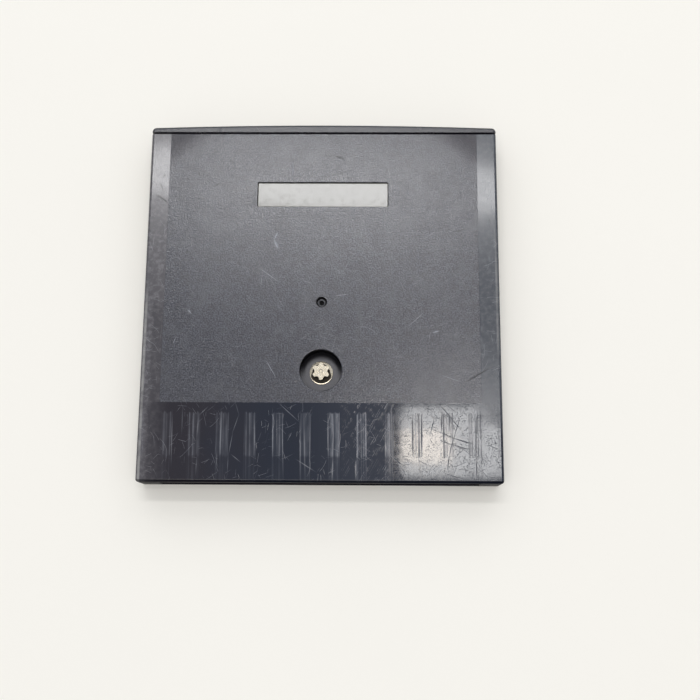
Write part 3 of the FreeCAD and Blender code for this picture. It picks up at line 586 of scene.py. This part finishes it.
def field_colour(f, look, grain, mottle, fresh):
    """Textured field: a painted highlight on the grain's crowns, clouded, darker where it is less
    rubbed.
    """
    cloud = f.noise(4.0, 5.0, f.place, 0.7)
    # The crowns of the grain are painted paler as a highlight, on top of their bump
    tone = f.tint(f.product(grain, 0.8), tuple(look.field), GRAIN_CROWN_HIGHLIGHT)
    tone = f.tint(f.ramp(mottle, 0.42, 0.68, 0.0, 0.5), tone, FIELD_MOTTLE)
    tone = f.tint(f.ramp(cloud, 0.48, 0.7, 0.0, 0.5), tone, PALE_CLOUD)
    tone = f.tint(f.ramp(cloud, 0.45, 0.25, 0.0, 0.6), tone, DARK_CLOUD)
    return f.tint(f.product(fresh, 0.8), tone, FRESH_FIELD)


def rear_plastic(look, wear):
    """Rear shell: textured field, smooth bands, rub streaks, hairlines and single scratches."""
    f = Finish("rear_plastic")
    top = REAR_TOP * PER_MM
    half = look.field_half * PER_MM
    low = look.field_low * PER_MM
    across = f.math("ABSOLUTE", f.x)
    face = f.ramp(f.z, top - 0.18, top - 0.1)
    below = f.ramp(f.y, low + 0.05, low - 0.05)
    right = f.ramp(f.x, 0.0, 1.0)
    field = f.product(
        f.ramp(across, half + 0.06, half - 0.06), f.ramp(f.y, low - 0.06, low + 0.06), face
    )
    well_floor, darkening, floors, walls = sunk_parts(f, across, top)
    side, kept = side_bands(f, across, half, below, right, low)
    dull = f.math("ADD", field, floors, clamp=True)
    plate_z = top - PLATE_DEPTH
    plate = f.product(
        f.ramp(f.y, PLATE_FOOT, PLATE_FOOT + 0.4), f.ramp(f.z, plate_z + 0.05, plate_z)
    )
    # The end wall and its rounding, darkened in colour as painted shade
    end = f.ramp(f.y, REAR_END, REAR_END - 0.12)
    # The field's far corners are less rubbed
    fresh = f.product(field, f.ramp(f.weighted(f.y, (across, 0.8)), 47.5, 54.0))
    dented = f.product(below, f.ramp(f.x, PATCH_LEFT, PATCH_LEFT + 2.0))
    before_patch = f.ramp(f.x, PATCH_LEFT + 4.0, PATCH_LEFT)
    misted = f.product(below, face, f.ramp(f.x, -6.0, 9.0), before_patch)

    streak, streak_line = rub_streaks(f, wear, face)
    hair, single, cut = rear_scratches(f, wear, face)
    scored = f.total(single, cut)
    haze = f.ramp(f.noise(0.9, 4.0, f.place, 0.7), 0.4, 0.7)
    scuffed = f.ramp(f.noise(0.9, 4.0, f.place, 0.7), 0.45, 0.75, 0.02, 0.06)
    grain = f.ramp(f.noise(look.grain * PER_MM, 2.0, f.place, 0.5), 0.3, 0.7)
    mottle = f.noise(1.1, 4.0, f.place, 0.65)

    smooth = f.weighted(
        f.blend(side, look.band_rough, look.side_rough),
        (f.product(haze, side), 0.05), (plate, scuffed), (walls, 0.25),
    )
    rough = f.blend(dull, smooth, f.weighted(look.field_rough, (well_floor, 0.2)))
    worn = f.weighted(
        f.product(scored, 0.5), (streak, 0.03), (streak_line, 0.35), (hair, 0.4),
        (rear_dents(f, dented), 0.45), (f.math("SUBTRACT", mottle, 0.5), 0.12), (end, 0.35),
    )
    rough = f.math("MINIMUM", f.total(rough, worn), 0.85)

    hue = f.ramp(f.weighted(f.x, (f.noise(9.0, 1.0), 14.0)), -20.0, -2.0)
    smooth_colour = f.tint(hue, tuple(look.plastic), tuple(look.cool))
    base = f.tint(dull, smooth_colour, field_colour(f, look, grain, mottle, fresh))
    rubbed_side = f.product(
        side, f.blend(haze, 0.5, 1.0), f.inverse(kept),
        f.ramp(f.z, top - 0.7, top - 0.2, 0.3, 1.0),
    )
    base = f.tint(rubbed_side, base, f.tint(right, LEFT_BAND, RIGHT_BAND))
    # The well floor is painted lighter, as painted light in the shaded recess
    base = f.tint(f.product(well_floor, 0.8), base, WELL_FLOOR_LIGHTENED)
    # A pale strip painted on the edge rounding as a highlight
    base = f.tint(edge_highlights(f), base, EDGE_HIGHLIGHT)
    base = f.tint(plate, base, PLATE)
    pale = f.weighted(
        f.product(single, f.blend(field, 0.4, 0.75)), (hair, f.blend(field, 0.42, 0.19)),
        (streak, 0.11), (streak_line, 0.55), (misted, 0.05),
    )
    pale = f.product(f.math("MINIMUM", pale, 1.0), f.ramp(dented, 0.0, 1.0, 1.0, 0.15))
    base = f.tint(pale, base, tuple(look.rubbed))
    # Painted shade in black on the walls, the pit, the end and the well floor; the dark scratches
    # are real
    dark = f.most(walls, cut, f.product(end, 0.6), f.product(darkening, 0.95))
    base = f.tint(dark, base, BLACK)

    f.relief(
        f.weighted(
            f.product(grain, dull, look.grain_depth * PER_MM),
            (f.noise(1.1, 1.0), 0.0015), (scored, -0.006), (hair, -0.003),
        )
    )
    duller = f.most(end, walls, f.product(fresh, 0.5), f.weighted(darkening, (plate, 0.14)))
    f.set(
        Base_Color=base, Roughness=rough, IOR=PLASTIC_IOR,
        Specular_IOR_Level=f.ramp(duller, 0.0, 1.0, 0.5, 0.03),
        Coat_Weight=f.product(side, face, f.ramp(f.y, -20.0, -12.0), 0.4), Coat_Roughness=0.07,
    )
    return f.material


def front_plastic(look, wear):
    """Front shell: fine texture, smooth label recess, paler lip, end painted dark as shade,
    hairlines.
    """
    f = Finish("front_plastic")
    recess = f.product(f.ramp(f.z, 0.2, 0.3), f.ramp(f.z, 0.6, 0.5))
    lip = f.ramp(f.y, LIP_FOOT, LIP_FOOT + 0.4)
    end = f.ramp(f.y, FRONT_END, FRONT_END - 0.3)
    patches = f.ramp(f.noise(8.0, 1.0), 0.4, 0.62, 0.2, 1.0)
    hair = f.product(f.strokes(FRONT_HAIRLINES), patches, wear.hairline)
    rub = f.ramp(f.noise(2.4, 4.0, f.place, 0.65), 0.42, 0.75)
    grain = f.noise(look.grain * PER_MM, 3.0, f.place, 0.6)
    mottle = f.noise(0.9, 2.0, f.place, 0.6)
    rough = f.weighted(
        f.blend(recess, 0.34, 0.2), (lip, -0.13), (hair, 0.2), (rub, 0.08),
        (f.math("SUBTRACT", mottle, 0.5), 0.1),
    )
    base = f.tint(f.product(rub, 0.3), tuple(look.plastic), tuple(look.field))
    base = f.tint(f.product(lip, 0.7), base, LIP)
    base = f.tint(f.product(hair, 0.12), base, tuple(look.rubbed))
    # The end is darkened in colour as painted shade
    base = f.tint(f.product(end, 0.7), base, BLACK)
    f.relief(f.weighted(f.product(grain, look.grain_depth * PER_MM * 0.6), (hair, -0.003)))
    f.set(
        Base_Color=base, Roughness=rough, IOR=PLASTIC_IOR,
        Specular_IOR_Level=f.ramp(end, 0.0, 1.0, 0.5, 0.03),
    )
    return f.material


def screw_plating(metal):
    """Screw: turned plated steel, warm in tone, with painted shade on and round the star's walls
    and in the dimple, and clouds of grime.
    """
    f = Finish("screw_plating")
    top = SCREW_HIGH.z * PER_MM
    radius = f.distance(AXIS_X, AXIS_Y)
    ahead = f.math("SUBTRACT", f.y, AXIS_Y)
    rings = f.lines(radius, 0.05, 2.0)
    cloud = f.noise(0.4, 3.0)
    walls = f.product(
        f.ramp(f.z, top - 0.04, top - 0.10), f.ramp(f.z, top - 1.52, top - 1.46),
        f.ramp(radius, 0.6, 0.8),
    )
    # Painted shade at the star's foot, which reaches further out on the near side
    reach = f.ramp(ahead, 0.2, -0.9, 1.72, 2.12)
    foot = f.product(
        f.ramp(f.math("SUBTRACT", radius, reach), 0.05, -0.08),
        f.ramp(f.z, top - 1.36, top - 1.44),
    )
    # A dark ring painted in the middle dimple as its shade
    ring = f.product(f.ramp(radius, 0.44, 0.38), f.ramp(radius, 0.22, 0.28), 0.6)
    # Painted shade of the star's walls, its foot and the dimple, with real grime in clouds
    darkening = f.most(
        ring, f.product(f.most(walls, foot), 0.95), f.ramp(cloud, 0.56, 0.72, 0.0, 0.3)
    )
    rough = f.weighted(0.165, (rings, 0.03), (darkening, 0.35))
    stain = f.ramp(f.noise(0.5, 2.0), 0.35, 0.7, 0.0, 0.5)
    base = f.tint(stain, tuple(metal.plating), STAINED_PLATING)
    base = f.tint(darkening, base, tuple(metal.grime_and_shade))
    f.relief(f.weighted(f.product(cloud, 0.0008), (rings, 0.0005)))
    f.set(
        Base_Color=base, Roughness=rough, Metallic=f.inverse(darkening),
        Specular_IOR_Level=f.ramp(darkening, 0.4, 0.95, 0.5, 0.05),
    )
    return f.material


def contact_gold(metal):
    """Edge contacts: gold over nickel, with wiping marks along the way in."""
    f = Finish("contact_gold")
    wiped = f.ramp(f.lines(f.weighted(f.x, (f.y, 0.01)), 0.06, 2.0), 0.4, 0.7)
    reach = f.ramp(f.y, CONTACTS_HIGH.y * PER_MM - 1.5, CONTACTS_HIGH.y * PER_MM - 3.0)
    wear = f.product(wiped, reach)
    base = f.tint(f.product(wear, 0.35), tuple(metal.gold), WIPED_GOLD)
    base = f.tint(f.ramp(f.noise(0.8, 3.0), 0.55, 0.8, 0.0, 0.35), base, TARNISH)
    f.relief(f.product(wear, -0.002))
    f.set(Base_Color=base, Roughness=f.weighted(0.2, (wear, 0.18)), Metallic=1.0)
    return f.material


def board_lacquer(board):
    """Board: green lacquer over glass weave, with the bare laminate on its edges."""
    f = Finish("board_lacquer")
    top = BOARD_HIGH.z * PER_MM
    under = BOARD_LOW.z * PER_MM
    coat = f.most(f.ramp(f.z, top - 0.09, top - 0.05), f.ramp(f.z, under + 0.09, under + 0.05))
    warp = f.math("SINE", f.product(f.x, 2 * math.pi / WARP_PITCH))
    weft = f.math("SINE", f.product(f.y, 2 * math.pi / WEFT_PITCH))
    weave = f.weighted(0.5, (f.product(warp, weft), 0.5))
    cloud = f.noise(3.5, 3.0)
    lacquer = f.tint(f.product(weave, 0.25), tuple(board.mask), WEAVE_GREEN)
    lacquer = f.tint(f.ramp(cloud, 0.4, 0.7, 0.0, 0.3), lacquer, DEEP_GREEN)
    plies = f.ramp(f.lines(f.z, 0.12, 1.0), 0.4, 0.6)
    edge = f.tint(f.product(plies, 0.5), tuple(board.laminate), PLY)
    f.relief(f.product(weave, 0.004))
    f.set(
        Base_Color=f.tint(coat, edge, lacquer),
        Roughness=f.blend(coat, 0.7, f.weighted(0.2, (cloud, 0.16))), IOR=LACQUER_IOR,
    )
    return f.material


def track_lacquer(board):
    """Copper tracks under the lacquer: paler green, slightly uneven."""
    f = Finish("track_lacquer")
    cloud = f.noise(1.4, 3.0)
    base = f.tint(f.ramp(cloud, 0.35, 0.7, 0.0, 0.6), tuple(board.track), PALE_TRACK)
    f.relief(f.product(f.noise(0.25, 2.0), 0.004))
    f.set(Base_Color=base, Roughness=f.weighted(0.18, (cloud, 0.2)), IOR=LACQUER_IOR)
    return f.material


def chip_epoxy(board):
    """Chip body: filled epoxy, fine and even, a little shinier where the mould was polished."""
    f = Finish("chip_epoxy")
    filler = f.noise(0.09, 3.0, f.place, 0.7)
    cloud = f.noise(2.0, 2.0)
    base = f.tint(f.ramp(filler, 0.5, 0.75, 0.0, 0.5), tuple(board.epoxy), EPOXY_FILLER)
    f.relief(f.product(filler, 0.012))
    f.set(Base_Color=base, Roughness=f.weighted(0.4, (cloud, 0.25)), IOR=EPOXY_IOR)
    return f.material


def tinned_metal(metal):
    """Leads, solder and the capacitor's ends: dull tin with a soft grain."""
    f = Finish("tinned_metal")
    grain = f.noise(0.16, 3.0, f.place, 0.6)
    cloud = f.noise(0.7, 2.0)
    base = f.tint(f.ramp(cloud, 0.4, 0.7, 0.0, 0.5), tuple(metal.tin), DULL_TIN)
    f.relief(f.product(grain, 0.01))
    f.set(Base_Color=base, Roughness=f.weighted(0.18, (grain, 0.3)), Metallic=1.0)
    return f.material


def capacitor_ceramic(board):
    """Capacitor body: fired ceramic, speckled."""
    f = Finish("capacitor_ceramic")
    speck = f.ramp(f.noise(0.07, 3.0, f.place, 0.7), 0.45, 0.7)
    base = f.tint(f.product(speck, 0.6), tuple(board.ceramic), CERAMIC_SPECK)
    f.relief(f.product(speck, 0.006))
    f.set(Base_Color=base, Roughness=f.weighted(0.35, (speck, 0.2)), IOR=CERAMIC_IOR)
    return f.material


def floor_paper(stage):
    """Floor: pale matt paper with a very faint cloud and tooth."""
    f = Finish("floor_paper")
    cloud = f.noise(60.0, 3.0)
    paper = tuple(stage.floor)
    clouded = tuple(0.985 * part for part in paper)
    base = f.tint(f.ramp(cloud, 0.3, 0.7, 0.0, 0.5), paper, clouded)
    f.relief(f.product(f.noise(0.5, 3.0), 0.01))
    f.set(Base_Color=base, Roughness=f.weighted(0.8, (cloud, 0.1)))
    return f.material


THREAD_STEPS = 150
MOUND_RINGS = 6
MOUND_SIDES = 24
FLOOR_RINGS = 60
FLOOR_SIDES = 96
# Places of contacts, counted from the middle, that carry no track
BARE_CONTACTS = 8
# The floor lies a hair below the object, so that their faces never coincide.
FLOOR_DROP = 0.02 * MM


def grid_faces(rows, columns, copies=1):
    """Corner numbers of the quads of grids whose last column joins the first."""
    row, column = np.meshgrid(np.arange(rows - 1), np.arange(columns), indexing="ij")
    following = (column + 1) % columns
    quads = np.stack(
        (
            row * columns + column,
            row * columns + following,
            (row + 1) * columns + following,
            (row + 1) * columns + column,
        ),
        axis=-1,
    ).reshape(-1, 4)
    starts = np.arange(copies) * rows * columns
    return (starts[:, None, None] + quads).reshape(-1, 4).tolist()


def end_faces(rows, columns, copies=1):
    """Corner numbers of the faces that close the first and the last row of each grid."""
    starts = np.arange(copies)[:, None] * rows * columns
    first = starts + np.arange(columns)[::-1]
    last = starts + (rows - 1) * columns + np.arange(columns)
    return np.concatenate((first, last)).tolist()


def new_mesh(name, corners, faces, material, smooth=True):
    """A mesh object at the origin."""
    mesh = bpy.data.meshes.new(name)
    mesh.from_pydata(corners.reshape(-1, 3).tolist(), [], faces)
    mesh.polygons.foreach_set("use_smooth", np.full(len(mesh.polygons), smooth))
    mesh.materials.append(material)
    mesh.update()
    if mesh.validate():
        raise RuntimeError(f"{name} has faces that had to be mended")
    piece = bpy.data.objects.new(name, mesh)
    bpy.context.scene.collection.objects.link(piece)
    return piece


def new_piece(name, corners, material, smooth=True):
    """Closed grids, by copy, row and column, as one piece that rides on the cartridge."""
    copies, rows, columns = corners.shape[:3]
    faces = grid_faces(rows, columns, copies) + end_faces(rows, columns, copies)
    piece = new_mesh(name, corners, faces, material, smooth)
    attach(piece, "root")


def thread_surface(metal):
    """Helical ridge: a pointed profile carried up a helix round the screw's axis.

    At step s the angle grows evenly and the height with it by one pitch a turn. The profile's
    radius goes from root to crest and back, and shrinks to the root at both ends of the helix.
    """
    turns = (metal.thread_high - metal.thread_low) / metal.thread_pitch
    s = np.linspace(0.0, 1.0, THREAD_STEPS)[:, None]
    outward = np.array((0.0, 0.85, 1.0, 0.85, 0.0))[None, :]
    upward = np.array((-0.30, -0.05, 0.0, 0.05, 0.30))[None, :]
    fade = np.clip(np.minimum(s, 1.0 - s) * turns * 2.5, 0.06, 1.0)
    radius = metal.thread_root + (metal.thread_crest - metal.thread_root) * outward * fade
    angle = 2.0 * np.pi * turns * s
    height = metal.thread_low + metal.thread_pitch * (turns * s + upward * fade)
    across = SCREW_AXIS.x + radius * np.cos(angle)
    ahead = SCREW_AXIS.y + radius * np.sin(angle)
    return np.stack((across, ahead, height), axis=-1)[None]


def solder_surface(board):
    """Solder mounds: round a foot's rounded outline, the skirt flares out towards the board.

    At height share v the outline grows by spread times (1 - v) squared, so the skirt is hollow,
    and the outline's corners are rounded by a superellipse of power four.
    """
    around = np.linspace(0.0, 2.0 * np.pi, MOUND_SIDES, endpoint=False)[None, :]
    v = np.linspace(0.0, 1.0, MOUND_RINGS)[:, None]
    round_x = np.sign(np.cos(around)) * np.abs(np.cos(around)) ** 0.5
    round_y = np.sign(np.sin(around)) * np.abs(np.sin(around)) ** 0.5
    grown = board.solder_spread * (1.0 - v) ** 2
    margin = 0.02 * MM
    mound = np.stack(
        (
            (board.lead_width / 2 + margin + grown * 0.6) * round_x,
            (board.lead_foot / 2 + margin + grown) * round_y,
            np.broadcast_to(board.solder_height * v, (MOUND_RINGS, MOUND_SIDES)),
        ),
        axis=-1,
    )
    rows = np.array((LEADS_LOW.y + board.lead_foot / 2, LEADS_HIGH.y - board.lead_foot / 2))
    feet_x, feet_y = np.meshgrid(lead_places(board), rows, indexing="ij")
    feet = np.stack((feet_x, feet_y, np.full(feet_x.shape, BOARD_HIGH.z)), axis=-1)
    return feet.reshape(-1, 1, 1, 3) + mound[None]


def lead_places(board):
    """X of the leads in one row, even on both sides of the middle."""
    count = board.lead_count
    return (np.arange(count) - (count - 1) / 2) * board.lead_pitch


def track_surface(board):
    """Copper tracks: a low trapezium carried from a contact up to a lead by one slanted run.

    Each path goes straight up from its contact, slants by 45 degrees across the gap between
    contact and lead, and goes straight up to the lead. Corners are mitred by half the turn.
    """
    count = board.lead_count
    leads = lead_places(board)
    pads = (np.arange(count // 2) + BARE_CONTACTS) * board.contact_pitch
    starts = np.concatenate((-pads[::-1], pads))
    overlap = 0.4 * MM
    straight = 2.2 * MM
    low = np.full(count, CONTACTS_HIGH.y - overlap)
    high = np.full(count, LEADS_LOW.y + board.lead_foot)
    bend = high - straight
    path_x = np.stack((starts, starts, leads, leads), axis=-1)
    path_y = np.stack((low, bend - np.abs(leads - starts), bend, high), axis=-1)
    # Sideways and upright parts of the trapezium's four corners
    sideways = np.array((-1.0, -0.7, 0.7, 1.0)) * board.track_width / 2
    upright = np.array((0.0, 1.0, 1.0, 0.0)) * board.track_height
    mitre = np.where(leads < 0, 1.0, -1.0) * math.tan(math.pi / 8)
    lean = np.stack((np.zeros(count), mitre, mitre, np.zeros(count)), axis=-1)
    return np.stack(
        (
            path_x[..., None] + sideways,
            path_y[..., None] - lean[..., None] * sideways,
            np.broadcast_to(BOARD_HIGH.z + upright, path_x.shape + upright.shape),
        ),
        axis=-1,
    )


def floor_surface(stage):
    """Floor: a disc whose far rim turns up, by the square of the way past its flat part."""
    around = np.linspace(0.0, 2.0 * np.pi, FLOOR_SIDES, endpoint=False)[None, :]
    out = np.linspace(0.02, 1.0, FLOOR_RINGS)[:, None] ** 1.5
    radius = stage.floor_reach * out
    height = 0.9 * np.clip(out - 0.5, 0.0, None) ** 2 * stage.floor_reach - FLOOR_DROP
    return np.stack(
        (
            radius * np.cos(around),
            radius * np.sin(around),
            np.broadcast_to(height, (FLOOR_RINGS, FLOOR_SIDES)),
        ),
        axis=-1,
    )


def dress(node, material):
    """Puts one finish on a carried-over node."""
    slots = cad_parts[node].data.materials
    slots.clear()
    slots.append(material)


def add_floor(stage):
    """The floor, closed in its middle, with its faces upwards."""
    corners = floor_surface(stage)
    faces = grid_faces(FLOOR_RINGS, FLOOR_SIDES) + [list(range(FLOOR_SIDES))[::-1]]
    floor = new_mesh("floor", corners, faces, floor_paper(stage))
    floor.data.flip_normals()


def add_room(scene, stage):
    """Even light from all sides."""
    world = bpy.data.worlds.new("room")
    scene.world = world
    world.use_nodes = True
    room = world.node_tree.nodes["Background"]
    room.inputs["Color"].default_value = (*stage.room, 1.0)
    room.inputs["Strength"].default_value = stage.room_level


def add_lamp(name, place, extent, brightness, tone=(1.0, 1.0, 1.0), shape="RECTANGLE",
             hangs_level=False, spin=0.0):
    """A lamp of a given brightness that faces the object or hangs level.

    Its power is the brightness times pi times its area. The spin turns it in its own plane.
    """
    light = bpy.data.lights.new(name, "AREA")
    light.shape = shape
    light.size, light.size_y = extent
    area = extent[0] * extent[1] * (math.pi / 4 if shape == "ELLIPSE" else 1.0)
    light.energy = brightness * math.pi * area
    light.color = tone
    lamp = bpy.data.objects.new(name, light)
    bpy.context.scene.collection.objects.link(lamp)
    lamp.location = place
    if not hangs_level:
        x, y, z = place
        lamp.rotation_mode = "ZXY"
        lamp.rotation_euler = (-math.atan2(y, z), math.atan2(x, z), math.radians(spin))


def add_camera(scene, stage):
    """The camera at the photograph's angle."""
    eye = bpy.data.cameras.new("photo_camera")
    eye.lens = stage.lens
    eye.sensor_width = 36.0
    eye.clip_start = 0.01
    camera = bpy.data.objects.new("photo_camera", eye)
    scene.collection.objects.link(camera)
    back = (Vector(stage.camera_place) - Vector(stage.camera_aim)).normalized()
    right = Vector(stage.camera_up).cross(back).normalized()
    up = back.cross(right)
    turn = Matrix((right, up, back)).transposed()
    camera.matrix_world = Matrix.Translation(stage.camera_place) @ turn.to_4x4()
    scene.camera = camera


class CARTRIDGE_OT_shells(bpy.types.Operator):
    """Give both moulded shells their plastic, texture and wear"""

    bl_idname = "cartridge.shells"
    bl_label = "Finish the shells"

    def execute(self, context):
        scene = context.scene
        dress("rear_shell", rear_plastic(scene.cartridge_shell, scene.cartridge_wear))
        dress("front_shell", front_plastic(scene.cartridge_shell, scene.cartridge_wear))
        return {"FINISHED"}


class CARTRIDGE_OT_screw(bpy.types.Operator):
    """Plate the screw and cut its thread"""

    bl_idname = "cartridge.screw"
    bl_label = "Finish the screw"

    def execute(self, context):
        metal = context.scene.cartridge_metal
        plating = screw_plating(metal)
        dress("shell_screw", plating)
        new_piece("screw_thread", thread_surface(metal), plating)
        return {"FINISHED"}


class CARTRIDGE_OT_board(bpy.types.Operator):
    """Finish the board, its contacts and its components"""

    bl_idname = "cartridge.board"
    bl_label = "Finish the board"

    def execute(self, context):
        board = context.scene.cartridge_board
        metal = context.scene.cartridge_metal
        tin = tinned_metal(metal)
        dress("circuit_board", board_lacquer(board))
        dress("edge_contacts", contact_gold(metal))
        dress("memory_chip", chip_epoxy(board))
        dress("chip_leads", tin)
        dress("capacitor_body", capacitor_ceramic(board))
        dress("capacitor_terminals", tin)
        return {"FINISHED"}


class CARTRIDGE_OT_tracks(bpy.types.Operator):
    """Lay the copper tracks from the contacts to the chip"""

    bl_idname = "cartridge.tracks"
    bl_label = "Lay the tracks"

    def execute(self, context):
        board = context.scene.cartridge_board
        lacquer = track_lacquer(board)
        new_piece("copper_tracks", track_surface(board), lacquer, smooth=False)
        return {"FINISHED"}


class CARTRIDGE_OT_solder(bpy.types.Operator):
    """Solder the chip's leads to the board"""

    bl_idname = "cartridge.solder"
    bl_label = "Solder the leads"

    def execute(self, context):
        board = context.scene.cartridge_board
        tin = bpy.data.materials["tinned_metal"]
        new_piece("solder_joints", solder_surface(board), tin)
        return {"FINISHED"}


class CARTRIDGE_OT_stage(bpy.types.Operator):
    """Set the floor, the light and the camera"""

    bl_idname = "cartridge.stage"
    bl_label = "Set the stage"

    def execute(self, context):
        scene = context.scene
        stage = scene.cartridge_stage
        add_floor(stage)
        add_room(scene, stage)
        add_lamp("ceiling_lamp", (0.0, 0.8, 1.4), (4.0, 3.0), stage.ceiling_level,
                 hangs_level=True)
        add_lamp("strip_lamp", (-0.034, 0.338, 0.807), (0.48, 0.068), stage.strip_level,
                 shape="ELLIPSE", spin=-2.7)
        add_lamp("top_lamp", (0.0, -0.36, 1.6), (1.2, 0.5), stage.top_level,
                 tone=(1.0, 0.955, 0.90))
        add_lamp("panel_lamp", (0.117, 0.065, 0.80), (0.142, 0.070), stage.panel_level,
                 hangs_level=True)
        add_lamp("warm_lamp", (0.070, 0.059, 0.79), (0.048, 0.032), stage.warm_level,
                 tone=(1.0, 0.82, 0.62), hangs_level=True)
        add_lamp("back_lamp", (0.0, 1.7, 1.3), (3.0, 1.2), stage.back_level)
        add_camera(scene, stage)
        scene.view_settings.view_transform = "Standard"
        return {"FINISHED"}


STEPS = (
    CARTRIDGE_OT_shells,
    CARTRIDGE_OT_screw,
    CARTRIDGE_OT_board,
    CARTRIDGE_OT_tracks,
    CARTRIDGE_OT_solder,
    CARTRIDGE_OT_stage,
)


class CARTRIDGE_PT_panel(bpy.types.Panel):
    """Lists the steps that finish the cartridge"""

    bl_idname = "CARTRIDGE_PT_panel"
    bl_label = "Cartridge"
    bl_space_type = "VIEW_3D"
    bl_region_type = "UI"
    bl_category = "Cartridge"

    def draw(self, context):
        for step in STEPS:
            self.layout.operator(step.bl_idname)


SETTINGS = {
    "cartridge_shell": CARTRIDGE_PG_shell,
    "cartridge_wear": CARTRIDGE_PG_wear,
    "cartridge_metal": CARTRIDGE_PG_metal,
    "cartridge_board": CARTRIDGE_PG_board,
    "cartridge_stage": CARTRIDGE_PG_stage,
}


def register():
    for kind in (*SETTINGS.values(), *STEPS, CARTRIDGE_PT_panel):
        bpy.utils.register_class(kind)
    for name, kind in SETTINGS.items():
        setattr(bpy.types.Scene, name, bpy.props.PointerProperty(type=kind))


def unregister():
    for name in SETTINGS:
        delattr(bpy.types.Scene, name)
    for kind in (CARTRIDGE_PT_panel, *reversed(STEPS), *reversed(SETTINGS.values())):
        bpy.utils.unregister_class(kind)


def main():
    register()
    bpy.ops.cartridge.shells()
    bpy.ops.cartridge.screw()
    bpy.ops.cartridge.board()
    bpy.ops.cartridge.tracks()
    bpy.ops.cartridge.solder()
    bpy.ops.cartridge.stage()


if __name__ == "__main__":
    main()
